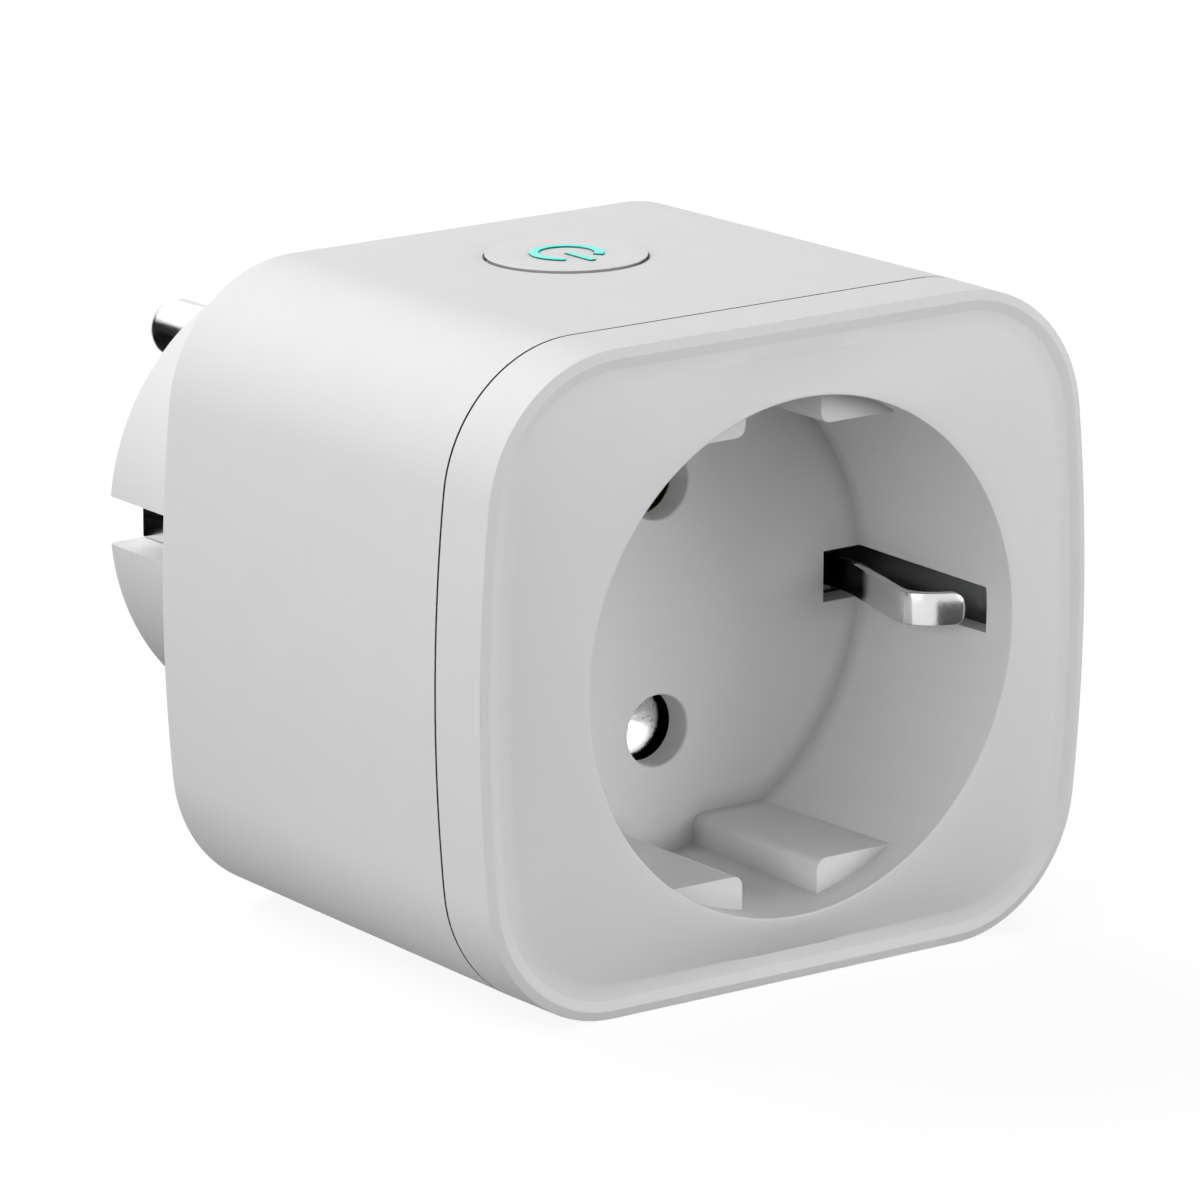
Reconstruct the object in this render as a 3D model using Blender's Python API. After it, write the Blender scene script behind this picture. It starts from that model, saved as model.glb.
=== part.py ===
"""Smart plug: a switched mains socket adapter, modelled as the separate pieces it comes apart into.

Lengths are metres. The origin is the middle of the plug's rear face. +Y points into the wall outlet,
the socket faces -Y, +Z is up and +X is to the right for someone who faces the socket.
"""
import math

import bmesh
import bpy

# Fits
CLEARANCE = 0.0003  # between pieces that seat on or in each other
CUT_OVER = 0.001  # how far a cutter runs past the wall that it cuts
BURY = 0.0005  # how deep a joined feature is sunk into the wall that it grows from

# Case, built round the socket well and tapered slightly from the seam to the back
FACE_SIDE = 0.0084  # from the well to the case's left and right sides, at the seam
FACE_TOP = 0.00545  # from the well to the case's top and bottom, at the seam
SIDE_DRAFT = 0.00045  # what each side draws in from the seam to the back
TOP_DRAFT = 0.0004  # what the top and the bottom draw in
SIDE_BOW_RADIUS = 0.141
CORNER_RADIUS = 0.0112
CASE_LENGTH = 0.0358  # from the back face to the seam
BACK_EDGE_RADIUS = 0.0003
WALL = 0.002

# Front cover: a low ridge round the rim, a flat groove and a pillowed face that rises to the well's mouth
COVER_LENGTH = 0.0055  # from the seam to the rim's outer edge
RIM_EDGE_RADIUS = 0.0002
RIDGE_INSET = 0.0007  # from the cover's side in to the top of the ridge
RIDGE_RISE = 0.00028
GROOVE_INSET = 0.0015  # to the outer side of the groove
GROOVE_DEPTH = 0.0002  # below the top of the ridge
GROOVE_WIDTH = 0.0009
FACE_INSET = 0.0048  # to the flat part of the face
FACE_RISE = 0.00172  # from the groove to the flat part of the face
FACE_THICKNESS = 0.002
LIP_LENGTH = 0.003
LIP_THICKNESS = 0.0012

# Socket well in the front cover
WELL_DIAMETER = 0.039
WELL_DEPTH = 0.0178
WELL_DRAFT = 0.00035  # radius lost from the mouth to the floor
WELL_WALL = 0.0016
WELL_FLOOR = 0.0022
MOUTH_RADIUS = 0.0003
SOCKET_HOLE_DIAMETER = 0.0055
RIB_RECESS = 0.003  # from the well's wall in to a rib's flat, at the middle of the well
RIB_SPACING = 0.0069  # between the two ribs of a pair
RIB_LENGTH = 0.015
SLOT_WIDTH = 0.004  # at the floor
SLOT_FRONT_WIDTH = 0.0035
SLOT_REACH = 0.0039  # from the well's wall in to the slot's end in the floor
SLOT_LENGTH = 0.0148

# Plug base, which goes into a well like the one in front
BOSS_LENGTH = 0.0212
BOSS_WELL_GAP = 0.00125  # from the boss, at its rear face, to the wall of a well that it goes into
BOSS_TAPER = 0.0003  # radius gained from the rear face to the case
BOSS_EDGE = 0.0006
BOSS_WALL = 0.003
BOSS_END = 0.003
FLANGE_RIM_GAP = 0.0017  # from the flange to the inside of the case
FLANGE_THICKNESS = 0.0018
NOTCH_WIDTH = 0.0043
NOTCH_DEPTH = 0.00435
NOTCH_LENGTH = 0.018
CHANNEL_WALL = 0.0016
STANDOFF_LENGTH = 0.0017
STANDOFF_DIAMETER = 0.0032

# Pins and contacts
PIN_INSET = 0.010  # from the wall of the well in to the axis of a pin or a pin hole
PIN_DIAMETER = 0.0048
PIN_LENGTH = 0.019
PIN_TIP_RADIUS = 0.0017
PIN_COLLAR_RIM = 0.001
PIN_COLLAR_THICKNESS = 0.002
PIN_TAIL_DIAMETER = 0.0024
STRIP_THICKNESS = 0.0008
SLEEVE_BORE = 0.0051
SLEEVE_WALL = 0.00065
SLEEVE_SLIT = 0.0009
SLEEVE_SET_BACK = 0.0012  # from the back of the well's floor to the sleeve
CLIP_WIDTH = 0.0025
CLIP_ROOT = 0.002  # from the well's wall in to the middle of the clip's root
CLIP_AXIS = 0.00085  # from the floor forward to the axis that the clip flexes about
CLIP_PATH = (  # from the root: inward, then forward of the axis, along the middle of the strip
    (0.0013, 0.0051),
    (0.00205, 0.0077),
    (0.0024, 0.0094),
    (0.00212, 0.01065),
    (0.00145, 0.01135),
    (0.0002, 0.01195),
    (-0.00075, 0.0124),
)

# Button, its lens and its switch
BUTTON_DIAMETER = 0.0122
BUTTON_PROUD = 0.0003
BUTTON_TRAVEL = 0.0006
BUTTON_EDGE = 0.0003
BUTTON_WALL = 0.0013
BUTTON_TOP = 0.0015
BUTTON_RIM = 0.0008  # how far the retaining flange reaches past the cap
BUTTON_RIM_THICKNESS = 0.0008
SYMBOL_DIAMETER = 0.0057
SYMBOL_STROKE = 0.00075
SYMBOL_OPENING = 76.0  # degrees of the ring left open around the bar
SYMBOL_BAR_BACK = 0.0001
SYMBOL_BAR_FRONT = 0.0034
SYMBOL_GAP = 0.00015
SYMBOL_PROUD = 0.0001
LENS_THICKNESS = 0.001
LENS_STEM_DIAMETER = 0.003
LENS_STEM_DROP = 0.0012
PLUNGER_DIAMETER = 0.0034
PLUNGER_REACH = 0.0011
PLUNGER_SUNK = 0.001
TACT_SIDE = 0.006
TACT_HEIGHT = 0.0035
BUTTON_BOARD_LENGTH = 0.011
BUTTON_BOARD_WELL_GAP = 0.0039  # from the back of the well to the button's board
BUTTON_BOARD_MARGIN = 0.0019  # past the middle of a post
BUTTON_BOARD_THICKNESS = 0.0012
BUTTON_POST_GAP = 0.0006  # from the button's flange to a post
BUTTON_POST_DIAMETER = 0.004
BUTTON_PEG_DIAMETER = 0.0018
BUTTON_PEG_LENGTH = 0.0018
LED_WIDTH = 0.002
LED_DEPTH = 0.00125
LED_HEIGHT = 0.0007

# Main board and what it carries
BOARD_BOTTOM_GAP = 0.00255  # from the inside of the case up to the board
BOARD_TOP_GAP = 0.0008  # from the button's board down to the main board
BOARD_THICKNESS = 0.0016
BOARD_SIDE_GAP = 0.0008  # to the earth bridge's legs
BOARD_EDGE = 0.0008  # bare strip at each side of the board
BOARD_TOP_EDGE = 0.0022  # bare strip at the board's top
SLEEVE_SIDE_GAP = 0.0009  # from a sleeve to the components beside it
COMPONENT_SPACING = 0.001
RELAY_DEPTH = 0.0095
RELAY_HEIGHT = 0.020
TRANSFORMER_DEPTH = 0.0085
TRANSFORMER_HEIGHT = 0.0115
CAPACITOR_DIAMETER = 0.008
CAPACITOR_LENGTH = 0.010
VARISTOR_DIAMETER = 0.007
VARISTOR_THICKNESS = 0.0035
FUSE_DIAMETER = 0.0036
FUSE_LENGTH = 0.008
MODULE_WIDTH = 0.015
MODULE_THICKNESS = 0.001
MODULE_HEIGHT = 0.011
CAN_WIDTH = 0.012
CAN_DEPTH = 0.0022
CAN_HEIGHT = 0.008
CAN_WALL = 0.0004

# Case screws
SCREW_WALL_GAP = 0.0022  # from a screw's post to the inside of the case
SCREW_POST_RIM = 0.0002  # wall of a post round the seat of the head
SCREW_HEAD_DIAMETER = 0.0046
SCREW_HEAD_THICKNESS = 0.0018
SCREW_SUNK = 0.0003
SCREW_SHANK_DIAMETER = 0.0024
SCREW_LENGTH = 0.0145
SCREW_SEAT_LENGTH = 0.0061  # from the head's seat to the end of the shell's post
SCREW_CROSS_WIDTH = 0.0007
SCREW_CROSS_LENGTH = 0.0027
SCREW_CROSS_DEPTH = 0.0008

# Mesh fineness
SIDE_STEPS = 5
CORNER_STEPS = 8
EDGE_STEPS = 3
LARGE_STEPS = 48
SMALL_STEPS = 16

# Outer sizes of the case
SEAM_WIDTH = WELL_DIAMETER + 2 * FACE_SIDE
SEAM_HEIGHT = WELL_DIAMETER + 2 * FACE_TOP
BACK_WIDTH = SEAM_WIDTH - 2 * SIDE_DRAFT
BACK_HEIGHT = SEAM_HEIGHT - 2 * TOP_DRAFT

# Places along Y, from the rear face forward
BACK_Y = -BOSS_LENGTH
SEAM_Y = BACK_Y - CASE_LENGTH
COVER_BACK_Y = SEAM_Y - CLEARANCE
RIM_Y = SEAM_Y - COVER_LENGTH
RIDGE_Y = RIM_Y - RIDGE_RISE
GROOVE_Y = RIDGE_Y + GROOVE_DEPTH
FACE_Y = GROOVE_Y - FACE_RISE
FLOOR_Y = FACE_Y + WELL_DEPTH
FLOOR_BACK_Y = FLOOR_Y + WELL_FLOOR
FACE_BACK_Y = GROOVE_Y + FACE_THICKNESS
FLANGE_BACK_Y = BACK_Y - WALL - CLEARANCE
FLANGE_Y = FLANGE_BACK_Y - FLANGE_THICKNESS
BOARD_BACK_Y = FLANGE_Y - STANDOFF_LENGTH - CLEARANCE
BOARD_Y = BOARD_BACK_Y - BOARD_THICKNESS
MOUNTED_Y = BOARD_Y - CLEARANCE  # where components on the board's front begin
BUTTON_Y = FLOOR_BACK_Y + BUTTON_BOARD_WELL_GAP + BUTTON_BOARD_LENGTH / 2

# Radii and half sizes that several pieces share
WELL_RADIUS = WELL_DIAMETER / 2
PIN_Z = WELL_RADIUS - PIN_INSET
PIN_SPACING = 2 * PIN_Z
WELL_OUTER_RADIUS = WELL_RADIUS + WELL_WALL
BOSS_RADIUS = WELL_RADIUS - BOSS_WELL_GAP
BOSS_BASE_RADIUS = BOSS_RADIUS + BOSS_TAPER
BOSS_BORE_RADIUS = BOSS_RADIUS - BOSS_WALL
FLANGE_RADIUS = BACK_HEIGHT / 2 - WALL - FLANGE_RIM_GAP
COVER_WALL = WALL + CLEARANCE + LIP_THICKNESS
SLEEVE_RADIUS = SLEEVE_BORE / 2 + SLEEVE_WALL
NOTCH_FLOOR_X = BOSS_RADIUS - NOTCH_DEPTH
STRIP_X = NOTCH_FLOOR_X + CLEARANCE
STRIP_WIDTH = NOTCH_WIDTH - 2 * CLEARANCE
LEG_X = STRIP_X + STRIP_THICKNESS + CLEARANCE
BOARD_HALF_WIDTH = LEG_X - BOARD_SIDE_GAP
COMPONENT_X = SLEEVE_RADIUS + SLEEVE_SIDE_GAP
COMPONENT_END_X = BOARD_HALF_WIDTH - BOARD_EDGE
CLIP_X = WELL_RADIUS - CLIP_ROOT
CLIP_AXIS_Y = FLOOR_Y - CLIP_AXIS
SCREW_SEAT_RADIUS = SCREW_HEAD_DIAMETER / 2 + CLEARANCE
SCREW_POST_RADIUS = SCREW_SEAT_RADIUS + SCREW_POST_RIM
SCREW_INSET = WALL + CLEARANCE + SCREW_WALL_GAP + SCREW_POST_RADIUS
SCREW_X = BACK_WIDTH / 2 - SCREW_INSET
SCREW_Z = BACK_HEIGHT / 2 - SCREW_INSET
SCREW_SEAT_Y = BACK_Y - SCREW_SUNK - SCREW_HEAD_THICKNESS - CLEARANCE
SHELL_POST_Y = SCREW_SEAT_Y - SCREW_SEAT_LENGTH
COVER_POST_Y = SHELL_POST_Y - CLEARANCE
SCREW_HOLE_RADIUS = SCREW_SHANK_DIAMETER / 2 + CLEARANCE
BUTTON_RADIUS = BUTTON_DIAMETER / 2
BUTTON_RIM_RADIUS = BUTTON_RADIUS + BUTTON_RIM
BUTTON_POST_SPACING = 2 * (BUTTON_RIM_RADIUS + BUTTON_POST_GAP) + BUTTON_POST_DIAMETER
BUTTON_BOARD_WIDTH = BUTTON_POST_SPACING + 2 * BUTTON_BOARD_MARGIN
CORNERS = ((-1, -1), (1, -1), (-1, 1), (1, 1))
SIDES = (("left", -1), ("right", 1))


def case_size(y):
    """Width and height of the tapered case at a place along Y."""
    share = (y - BACK_Y) / (SEAM_Y - BACK_Y)
    width = BACK_WIDTH + (SEAM_WIDTH - BACK_WIDTH) * share
    return width, BACK_HEIGHT + (SEAM_HEIGHT - BACK_HEIGHT) * share


# Heights of the button's stack, from the case's top down
CASE_TOP_Z = case_size(BUTTON_Y)[1] / 2
CAP_Z = CASE_TOP_Z + BUTTON_PROUD
RIM_Z = CASE_TOP_Z - WALL - CLEARANCE
RIM_BOTTOM_Z = RIM_Z - BUTTON_RIM_THICKNESS
CAP_CEILING_Z = CAP_Z - BUTTON_TOP
LENS_Z = CAP_CEILING_Z - CLEARANCE
STEM_Z = RIM_BOTTOM_Z - LENS_STEM_DROP
PLUNGER_Z = STEM_Z - CLEARANCE
TACT_Z = PLUNGER_Z - PLUNGER_REACH
TACT_BOTTOM_Z = TACT_Z - TACT_HEIGHT
BUTTON_BOARD_Z = TACT_BOTTOM_Z - CLEARANCE
BUTTON_BOARD_BOTTOM_Z = BUTTON_BOARD_Z - BUTTON_BOARD_THICKNESS

# Heights of the main board and of the tallest parts on it
BOARD_TOP_Z = BUTTON_BOARD_BOTTOM_Z - BOARD_TOP_GAP
BOARD_BOTTOM_Z = WALL + BOARD_BOTTOM_GAP - BACK_HEIGHT / 2
RELAY_TOP_Z = BOARD_TOP_Z - BOARD_TOP_EDGE


# Outlines are lists of points in a plane; the plane is set when they are pushed along an axis


def arc(radius, start, end, steps, cu=0.0, cv=0.0):
    """Points of a circular arc between two angles in radians, both ends included."""
    turns = [start + (end - start) * i / steps for i in range(steps + 1)]
    return [(cu + radius * math.cos(t), cv + radius * math.sin(t)) for t in turns]


def circle(radius, steps, cu=0.0, cv=0.0):
    return arc(radius, 0.0, 2 * math.pi, steps, cu, cv)[:-1]


def rectangle(u0, u1, v0, v1):
    return [(u0, v0), (u1, v0), (u1, v1), (u0, v1)]


def ring_sector(outer, inner, middle, half_gap, steps, cu=0.0, cv=0.0):
    """A ring with an opening, of half_gap to each side of the direction middle."""
    start, end = middle + half_gap, middle + 2 * math.pi - half_gap
    return arc(outer, start, end, steps, cu, cv) + arc(inner, end, start, steps, cu, cv)


def case_outline(width, height, inset=0.0):
    """Flat top and bottom, bowed sides and round corners, all drawn in by inset."""
    half_w, half_h = width / 2 - inset, height / 2 - inset
    bow, corner = SIDE_BOW_RADIUS - inset, CORNER_RADIUS - inset
    bow_x, corner_z = half_w - bow, half_h - corner
    corner_x = bow_x + math.sqrt((bow - corner) ** 2 - corner_z**2)
    tangent = math.atan2(corner_z, corner_x - bow_x)
    quarter = arc(bow, 0.0, tangent, SIDE_STEPS, bow_x)[:-1]
    quarter += arc(corner, tangent, math.pi / 2, CORNER_STEPS, corner_x, corner_z)
    half = quarter + [(-x, z) for x, z in reversed(quarter)]
    return half + [(-x, -z) for x, z in half[1:-1]]


def smooth_path(points, steps):
    """A smooth curve through points, which runs out straight past the first and the last."""
    ends = [tuple(2 * a - b for a, b in zip(p, q)) for p, q in (points[:2], points[:-3:-1])]
    padded = [ends[0], *points, ends[1]]

    def between(p, q, r, s, t):
        bend, twist = 2 * p - 5 * q + 4 * r - s, 3 * q - p - 3 * r + s
        return (2 * q + (r - p) * t + bend * t**2 + twist * t**3) / 2

    path = []
    for four in zip(padded, padded[1:], padded[2:], padded[3:]):
        for i in range(steps):
            path.append(tuple(between(*values, i / steps) for values in zip(*four)))
    return path + [points[-1]]


def ribbon(path, thickness):
    """The outline of a strip of even thickness along a path."""
    sides = ([], [])
    for i, (u, v) in enumerate(path):
        before, after = path[max(i - 1, 0)], path[min(i + 1, len(path) - 1)]
        du, dv = after[0] - before[0], after[1] - before[1]
        scale = thickness / 2 / math.hypot(du, dv)
        sides[0].append((u - dv * scale, v + du * scale))
        sides[1].append((u + dv * scale, v - du * scale))
    return sides[0] + sides[1][::-1]


# Solids


PLACE = {
    "X": lambda u, v, along: (along, u, v),
    "Y": lambda u, v, along: (u, along, v),
    "Z": lambda u, v, along: (u, v, along),
}


def skin(bm, loops):
    """Close a stack of equal loops of points into one body with a cap at each end."""
    rings = [[bm.verts.new(point) for point in loop] for loop in loops]
    bm.faces.new(rings[0])
    bm.faces.new(rings[-1])
    for low, high in zip(rings, rings[1:]):
        for i, corner in enumerate(low):
            bm.faces.new((low[i - 1], corner, high[i], high[i - 1]))


def prism(bm, axis, outline, start, end):
    skin(bm, [[PLACE[axis](u, v, along) for u, v in outline] for along in (start, end)])


def block(bm, x, y, z):
    """A box between two limits along each axis."""
    prism(bm, "Z", rectangle(*x, *y), *z)


def turned(bm, axis, profile, steps, cu=0.0, cv=0.0):
    """A turned solid; profile gives radius and place along the axis, from one end cap to the other."""
    skin(bm, [[PLACE[axis](u, v, along) for u, v in circle(r, steps, cu, cv)] for r, along in profile])


def centred(size, middle=0.0):
    return middle - size / 2, middle + size / 2


def rounded_end(radius, place, edge, direction):
    """Profile points from a turned solid's side over a round edge to its end face."""
    turns = [math.pi / 2 * i / EDGE_STEPS for i in range(EDGE_STEPS + 1)]
    return [
        (radius - edge + edge * math.cos(t), place - direction * (edge - edge * math.sin(t)))
        for t in turns
    ]


# Objects


def material(name, colour, roughness, metallic=0.0):
    made = bpy.data.materials.new(name)
    made.use_nodes = True
    shader = made.node_tree.nodes["Principled BSDF"]
    shader.inputs["Base Color"].default_value = (*colour, 1.0)
    shader.inputs["Roughness"].default_value = roughness
    shader.inputs["Metallic"].default_value = metallic
    made.diffuse_color = (*colour, 1.0)
    return made


def piece(name, finish, fill, origin=(0.0, 0.0, 0.0)):
    """An object whose solid is made by fill in world coordinates, with its own origin."""
    bm = bmesh.new()
    fill(bm)
    bmesh.ops.recalc_face_normals(bm, faces=bm.faces)
    bmesh.ops.translate(bm, verts=bm.verts, vec=[-c for c in origin])
    mesh = bpy.data.meshes.new(name)
    bm.to_mesh(mesh)
    bm.free()
    mesh.shade_smooth()
    mesh.set_sharp_from_angle(angle=math.radians(32))
    made = bpy.data.objects.new(name, mesh)
    made.location = origin
    if finish:
        mesh.materials.append(finish)
    bpy.context.scene.collection.objects.link(made)
    return made


def tool(name, fill):
    """A solid that only cuts or joins another one."""
    made = piece(name, None, fill)
    made.hide_render = True
    made.display_type = "WIRE"
    return made


def combine(target, operation, name, fill):
    """Cut a solid from target, or join it to target."""
    step = target.modifiers.new(name, "BOOLEAN")
    step.operation = operation
    step.solver = "EXACT"
    step.object = tool(f"{target.name}_{name}", fill)


def cut(target, name, fill):
    combine(target, "DIFFERENCE", name, fill)


def join(target, name, fill):
    combine(target, "UNION", name, fill)


def rear_shell(finish):
    """The case from the back face to the seam, open to the front."""

    def outside(bm):
        loops = []
        for r, y in rounded_end(0.0, BACK_Y, BACK_EDGE_RADIUS, 1)[::-1]:
            loops.append([(x, y, z) for x, z in case_outline(*case_size(y), -r)])
        loops.append([(x, SEAM_Y, z) for x, z in case_outline(SEAM_WIDTH, SEAM_HEIGHT)])
        skin(bm, loops)

    def inside(bm):
        ends = (BACK_Y - WALL, SEAM_Y - CUT_OVER)
        skin(bm, [[(x, y, z) for x, z in case_outline(*case_size(y), WALL)] for y in ends])

    def boss_opening(bm):
        radius = BOSS_BASE_RADIUS + CLEARANCE
        turned(bm, "Y", [(radius, BACK_Y - WALL - CUT_OVER), (radius, BACK_Y + CUT_OVER)], LARGE_STEPS)

    def screw_posts(bm):
        ends = [(SCREW_POST_RADIUS, SHELL_POST_Y), (SCREW_POST_RADIUS, BACK_Y - WALL + BURY)]
        for sx, sz in CORNERS:
            turned(bm, "Y", ends, SMALL_STEPS, sx * SCREW_X, sz * SCREW_Z)

    def screw_holes(bm):
        steps = [
            (SCREW_HOLE_RADIUS, SHELL_POST_Y - CUT_OVER),
            (SCREW_HOLE_RADIUS, SCREW_SEAT_Y),
            (SCREW_SEAT_RADIUS, SCREW_SEAT_Y),
            (SCREW_SEAT_RADIUS, BACK_Y + CUT_OVER),
        ]
        for sx, sz in CORNERS:
            turned(bm, "Y", steps, SMALL_STEPS, sx * SCREW_X, sz * SCREW_Z)

    def button_hole(bm):
        radius = BUTTON_RADIUS + CLEARANCE
        ends = [(radius, CASE_TOP_Z - WALL - CUT_OVER), (radius, CASE_TOP_Z + CUT_OVER)]
        turned(bm, "Z", ends, LARGE_STEPS, 0.0, BUTTON_Y)

    def board_posts(bm):
        post, peg = BUTTON_POST_DIAMETER / 2, BUTTON_PEG_DIAMETER / 2
        shoulder = BUTTON_BOARD_Z + CLEARANCE
        for x in centred(BUTTON_POST_SPACING):
            steps = [
                (peg, shoulder - BUTTON_PEG_LENGTH),
                (peg, shoulder),
                (post, shoulder),
                (post, CASE_TOP_Z - WALL + BURY),
            ]
            turned(bm, "Z", steps, SMALL_STEPS, x, BUTTON_Y)

    shell = piece("rear_shell", finish, outside)
    cut(shell, "inside", inside)
    cut(shell, "boss_opening", boss_opening)
    cut(shell, "button_hole", button_hole)
    join(shell, "screw_posts", screw_posts)
    cut(shell, "screw_holes", screw_holes)
    join(shell, "board_posts", board_posts)


def cover_relief():
    """Inset from the cover's side and place along Y, from its back edge over the rim to the face."""
    relief = [(0.0, COVER_BACK_Y)]
    relief += [(-r, y) for r, y in rounded_end(0.0, RIM_Y, RIM_EDGE_RADIUS, -1)]
    relief += [(RIDGE_INSET, RIDGE_Y), (GROOVE_INSET, GROOVE_Y)]
    start = GROOVE_INSET + GROOVE_WIDTH
    for i in range(EDGE_STEPS + 2):
        share = i / (EDGE_STEPS + 1)
        inset = start + (FACE_INSET - start) * share
        relief.append((inset, GROOVE_Y - FACE_RISE * math.sin(math.pi / 2 * share)))
    return relief


def front_cover(finish):
    """The front with its lip, rim, face, socket well, ribs, holes, slots and screw posts."""

    def level(inset, y):
        return [(x, y, z) for x, z in case_outline(SEAM_WIDTH, SEAM_HEIGHT, inset)]

    def outside(bm):
        lip = WALL + CLEARANCE
        steps = [(lip, SEAM_Y + LIP_LENGTH), (lip, COVER_BACK_Y), *cover_relief()]
        skin(bm, [level(inset, y) for inset, y in steps])

    def inside(bm):
        ends = (SEAM_Y + LIP_LENGTH + CUT_OVER, FACE_BACK_Y)
        skin(bm, [level(COVER_WALL, y) for y in ends])

    def well_body(bm):
        radius = WELL_OUTER_RADIUS
        turned(bm, "Y", [(radius, FACE_BACK_Y - BURY), (radius, FLOOR_BACK_Y)], LARGE_STEPS)

    def posts(bm):
        ends = [(SCREW_POST_RADIUS, FACE_BACK_Y - BURY), (SCREW_POST_RADIUS, COVER_POST_Y)]
        for sx, sz in CORNERS:
            turned(bm, "Y", ends, SMALL_STEPS, sx * SCREW_X, sz * SCREW_Z)

    def post_holes(bm):
        bottom = SCREW_SEAT_Y - SCREW_LENGTH - CLEARANCE
        ends = [(SCREW_HOLE_RADIUS, bottom), (SCREW_HOLE_RADIUS, COVER_POST_Y + CUT_OVER)]
        for sx, sz in CORNERS:
            turned(bm, "Y", ends, SMALL_STEPS, sx * SCREW_X, sz * SCREW_Z)

    def well(bm):
        mouth = [
            (2 * WELL_RADIUS + MOUTH_RADIUS - r, y)
            for r, y in rounded_end(WELL_RADIUS + MOUTH_RADIUS, FACE_Y, MOUTH_RADIUS, -1)
        ]
        flared = WELL_RADIUS + MOUTH_RADIUS
        floor = (WELL_RADIUS - WELL_DRAFT, FLOOR_Y)
        turned(bm, "Y", [floor, *mouth, (flared, FACE_Y - CUT_OVER)], LARGE_STEPS)

    def ribs(bm):
        outer, flat, side = WELL_RADIUS + WELL_WALL / 2, WELL_RADIUS - RIB_RECESS, RIB_SPACING / 2
        start, end = math.asin(flat / outer), math.acos(side / outer)
        corner = arc(outer, start, end, EDGE_STEPS) + [(side, flat)]
        for sx, sz in CORNERS:
            outline = [(sx * x, sz * z) for x, z in corner]
            prism(bm, "Y", outline, FLOOR_Y + BURY, FLOOR_Y - RIB_LENGTH)

    def pin_holes(bm):
        radius = SOCKET_HOLE_DIAMETER / 2
        for z in centred(PIN_SPACING):
            ends = [(radius, FLOOR_Y - CUT_OVER), (radius, FLOOR_BACK_Y + CUT_OVER)]
            turned(bm, "Y", ends, SMALL_STEPS, 0.0, z)

    def earth_slots(bm):
        reach = (WELL_RADIUS - SLOT_REACH, WELL_OUTER_RADIUS + BURY)
        front, floor, back = FLOOR_Y - SLOT_LENGTH, FLOOR_Y, FLOOR_BACK_Y + CUT_OVER
        half = [(front, SLOT_FRONT_WIDTH / 2), (floor, SLOT_WIDTH / 2), (back, SLOT_WIDTH / 2)]
        outline = half + [(y, -z) for y, z in reversed(half)]
        for _, side in SIDES:
            prism(bm, "X", outline, *sorted(side * limit for limit in reach))

    cover = piece("front_cover", finish, outside)
    cut(cover, "inside", inside)
    join(cover, "well_body", well_body)
    join(cover, "posts", posts)
    cut(cover, "post_holes", post_holes)
    cut(cover, "well", well)
    join(cover, "ribs", ribs)
    cut(cover, "pin_holes", pin_holes)
    cut(cover, "earth_slots", earth_slots)


def standoff_places():
    """Middles of the four posts between the plug base's flange and the main board."""
    radius = (BOSS_BORE_RADIUS + FLANGE_RADIUS) / 2
    x = BOARD_HALF_WIDTH - STANDOFF_DIAMETER / 2
    z = math.sqrt(radius**2 - x**2)
    return [(sx * x, sz * z) for sx, sz in CORNERS]


def plug_base(finish):
    """The boss that carries the pins: a cup with a flange inside the case and a notch on each side."""

    def cup(bm):
        steps = [
            (BOSS_BORE_RADIUS, -BOSS_END),
            (BOSS_BORE_RADIUS, FLANGE_Y),
            (FLANGE_RADIUS, FLANGE_Y),
            (FLANGE_RADIUS, FLANGE_BACK_Y),
            (BOSS_BASE_RADIUS, FLANGE_BACK_Y),
            *rounded_end(BOSS_RADIUS, 0.0, BOSS_EDGE, 1),
        ]
        turned(bm, "Y", steps, LARGE_STEPS)

    def channels(bm):
        wide = NOTCH_WIDTH + 2 * CHANNEL_WALL
        reach = (NOTCH_FLOOR_X - CHANNEL_WALL, BOSS_BORE_RADIUS + BURY)
        for _, side in SIDES:
            x = sorted(side * limit for limit in reach)
            block(bm, x, (FLANGE_Y, -BOSS_END + BURY), centred(wide))

    def notches(bm):
        for _, side in SIDES:
            x = sorted((side * NOTCH_FLOOR_X, side * (BOSS_RADIUS + CUT_OVER)))
            block(bm, x, (-NOTCH_LENGTH, CUT_OVER), centred(NOTCH_WIDTH))

    def strip_slots(bm):
        reach = (NOTCH_FLOOR_X, STRIP_X + STRIP_THICKNESS + CLEARANCE)
        for _, side in SIDES:
            x = sorted(side * limit for limit in reach)
            block(bm, x, (FLANGE_Y - CUT_OVER, -NOTCH_LENGTH + BURY), centred(STRIP_WIDTH + 2 * CLEARANCE))

    def pin_holes(bm):
        radius = PIN_DIAMETER / 2 + CLEARANCE
        for z in centred(PIN_SPACING):
            turned(bm, "Y", [(radius, -BOSS_END - CUT_OVER), (radius, CUT_OVER)], SMALL_STEPS, 0.0, z)

    def standoffs(bm):
        radius = STANDOFF_DIAMETER / 2
        for x, z in standoff_places():
            ends = [(radius, FLANGE_Y - STANDOFF_LENGTH), (radius, FLANGE_Y + BURY)]
            turned(bm, "Y", ends, SMALL_STEPS, x, z)

    base = piece("plug_base", finish, cup)
    join(base, "channels", channels)
    cut(base, "notches", notches)
    cut(base, "strip_slots", strip_slots)
    cut(base, "pin_holes", pin_holes)
    join(base, "standoffs", standoffs)


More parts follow.
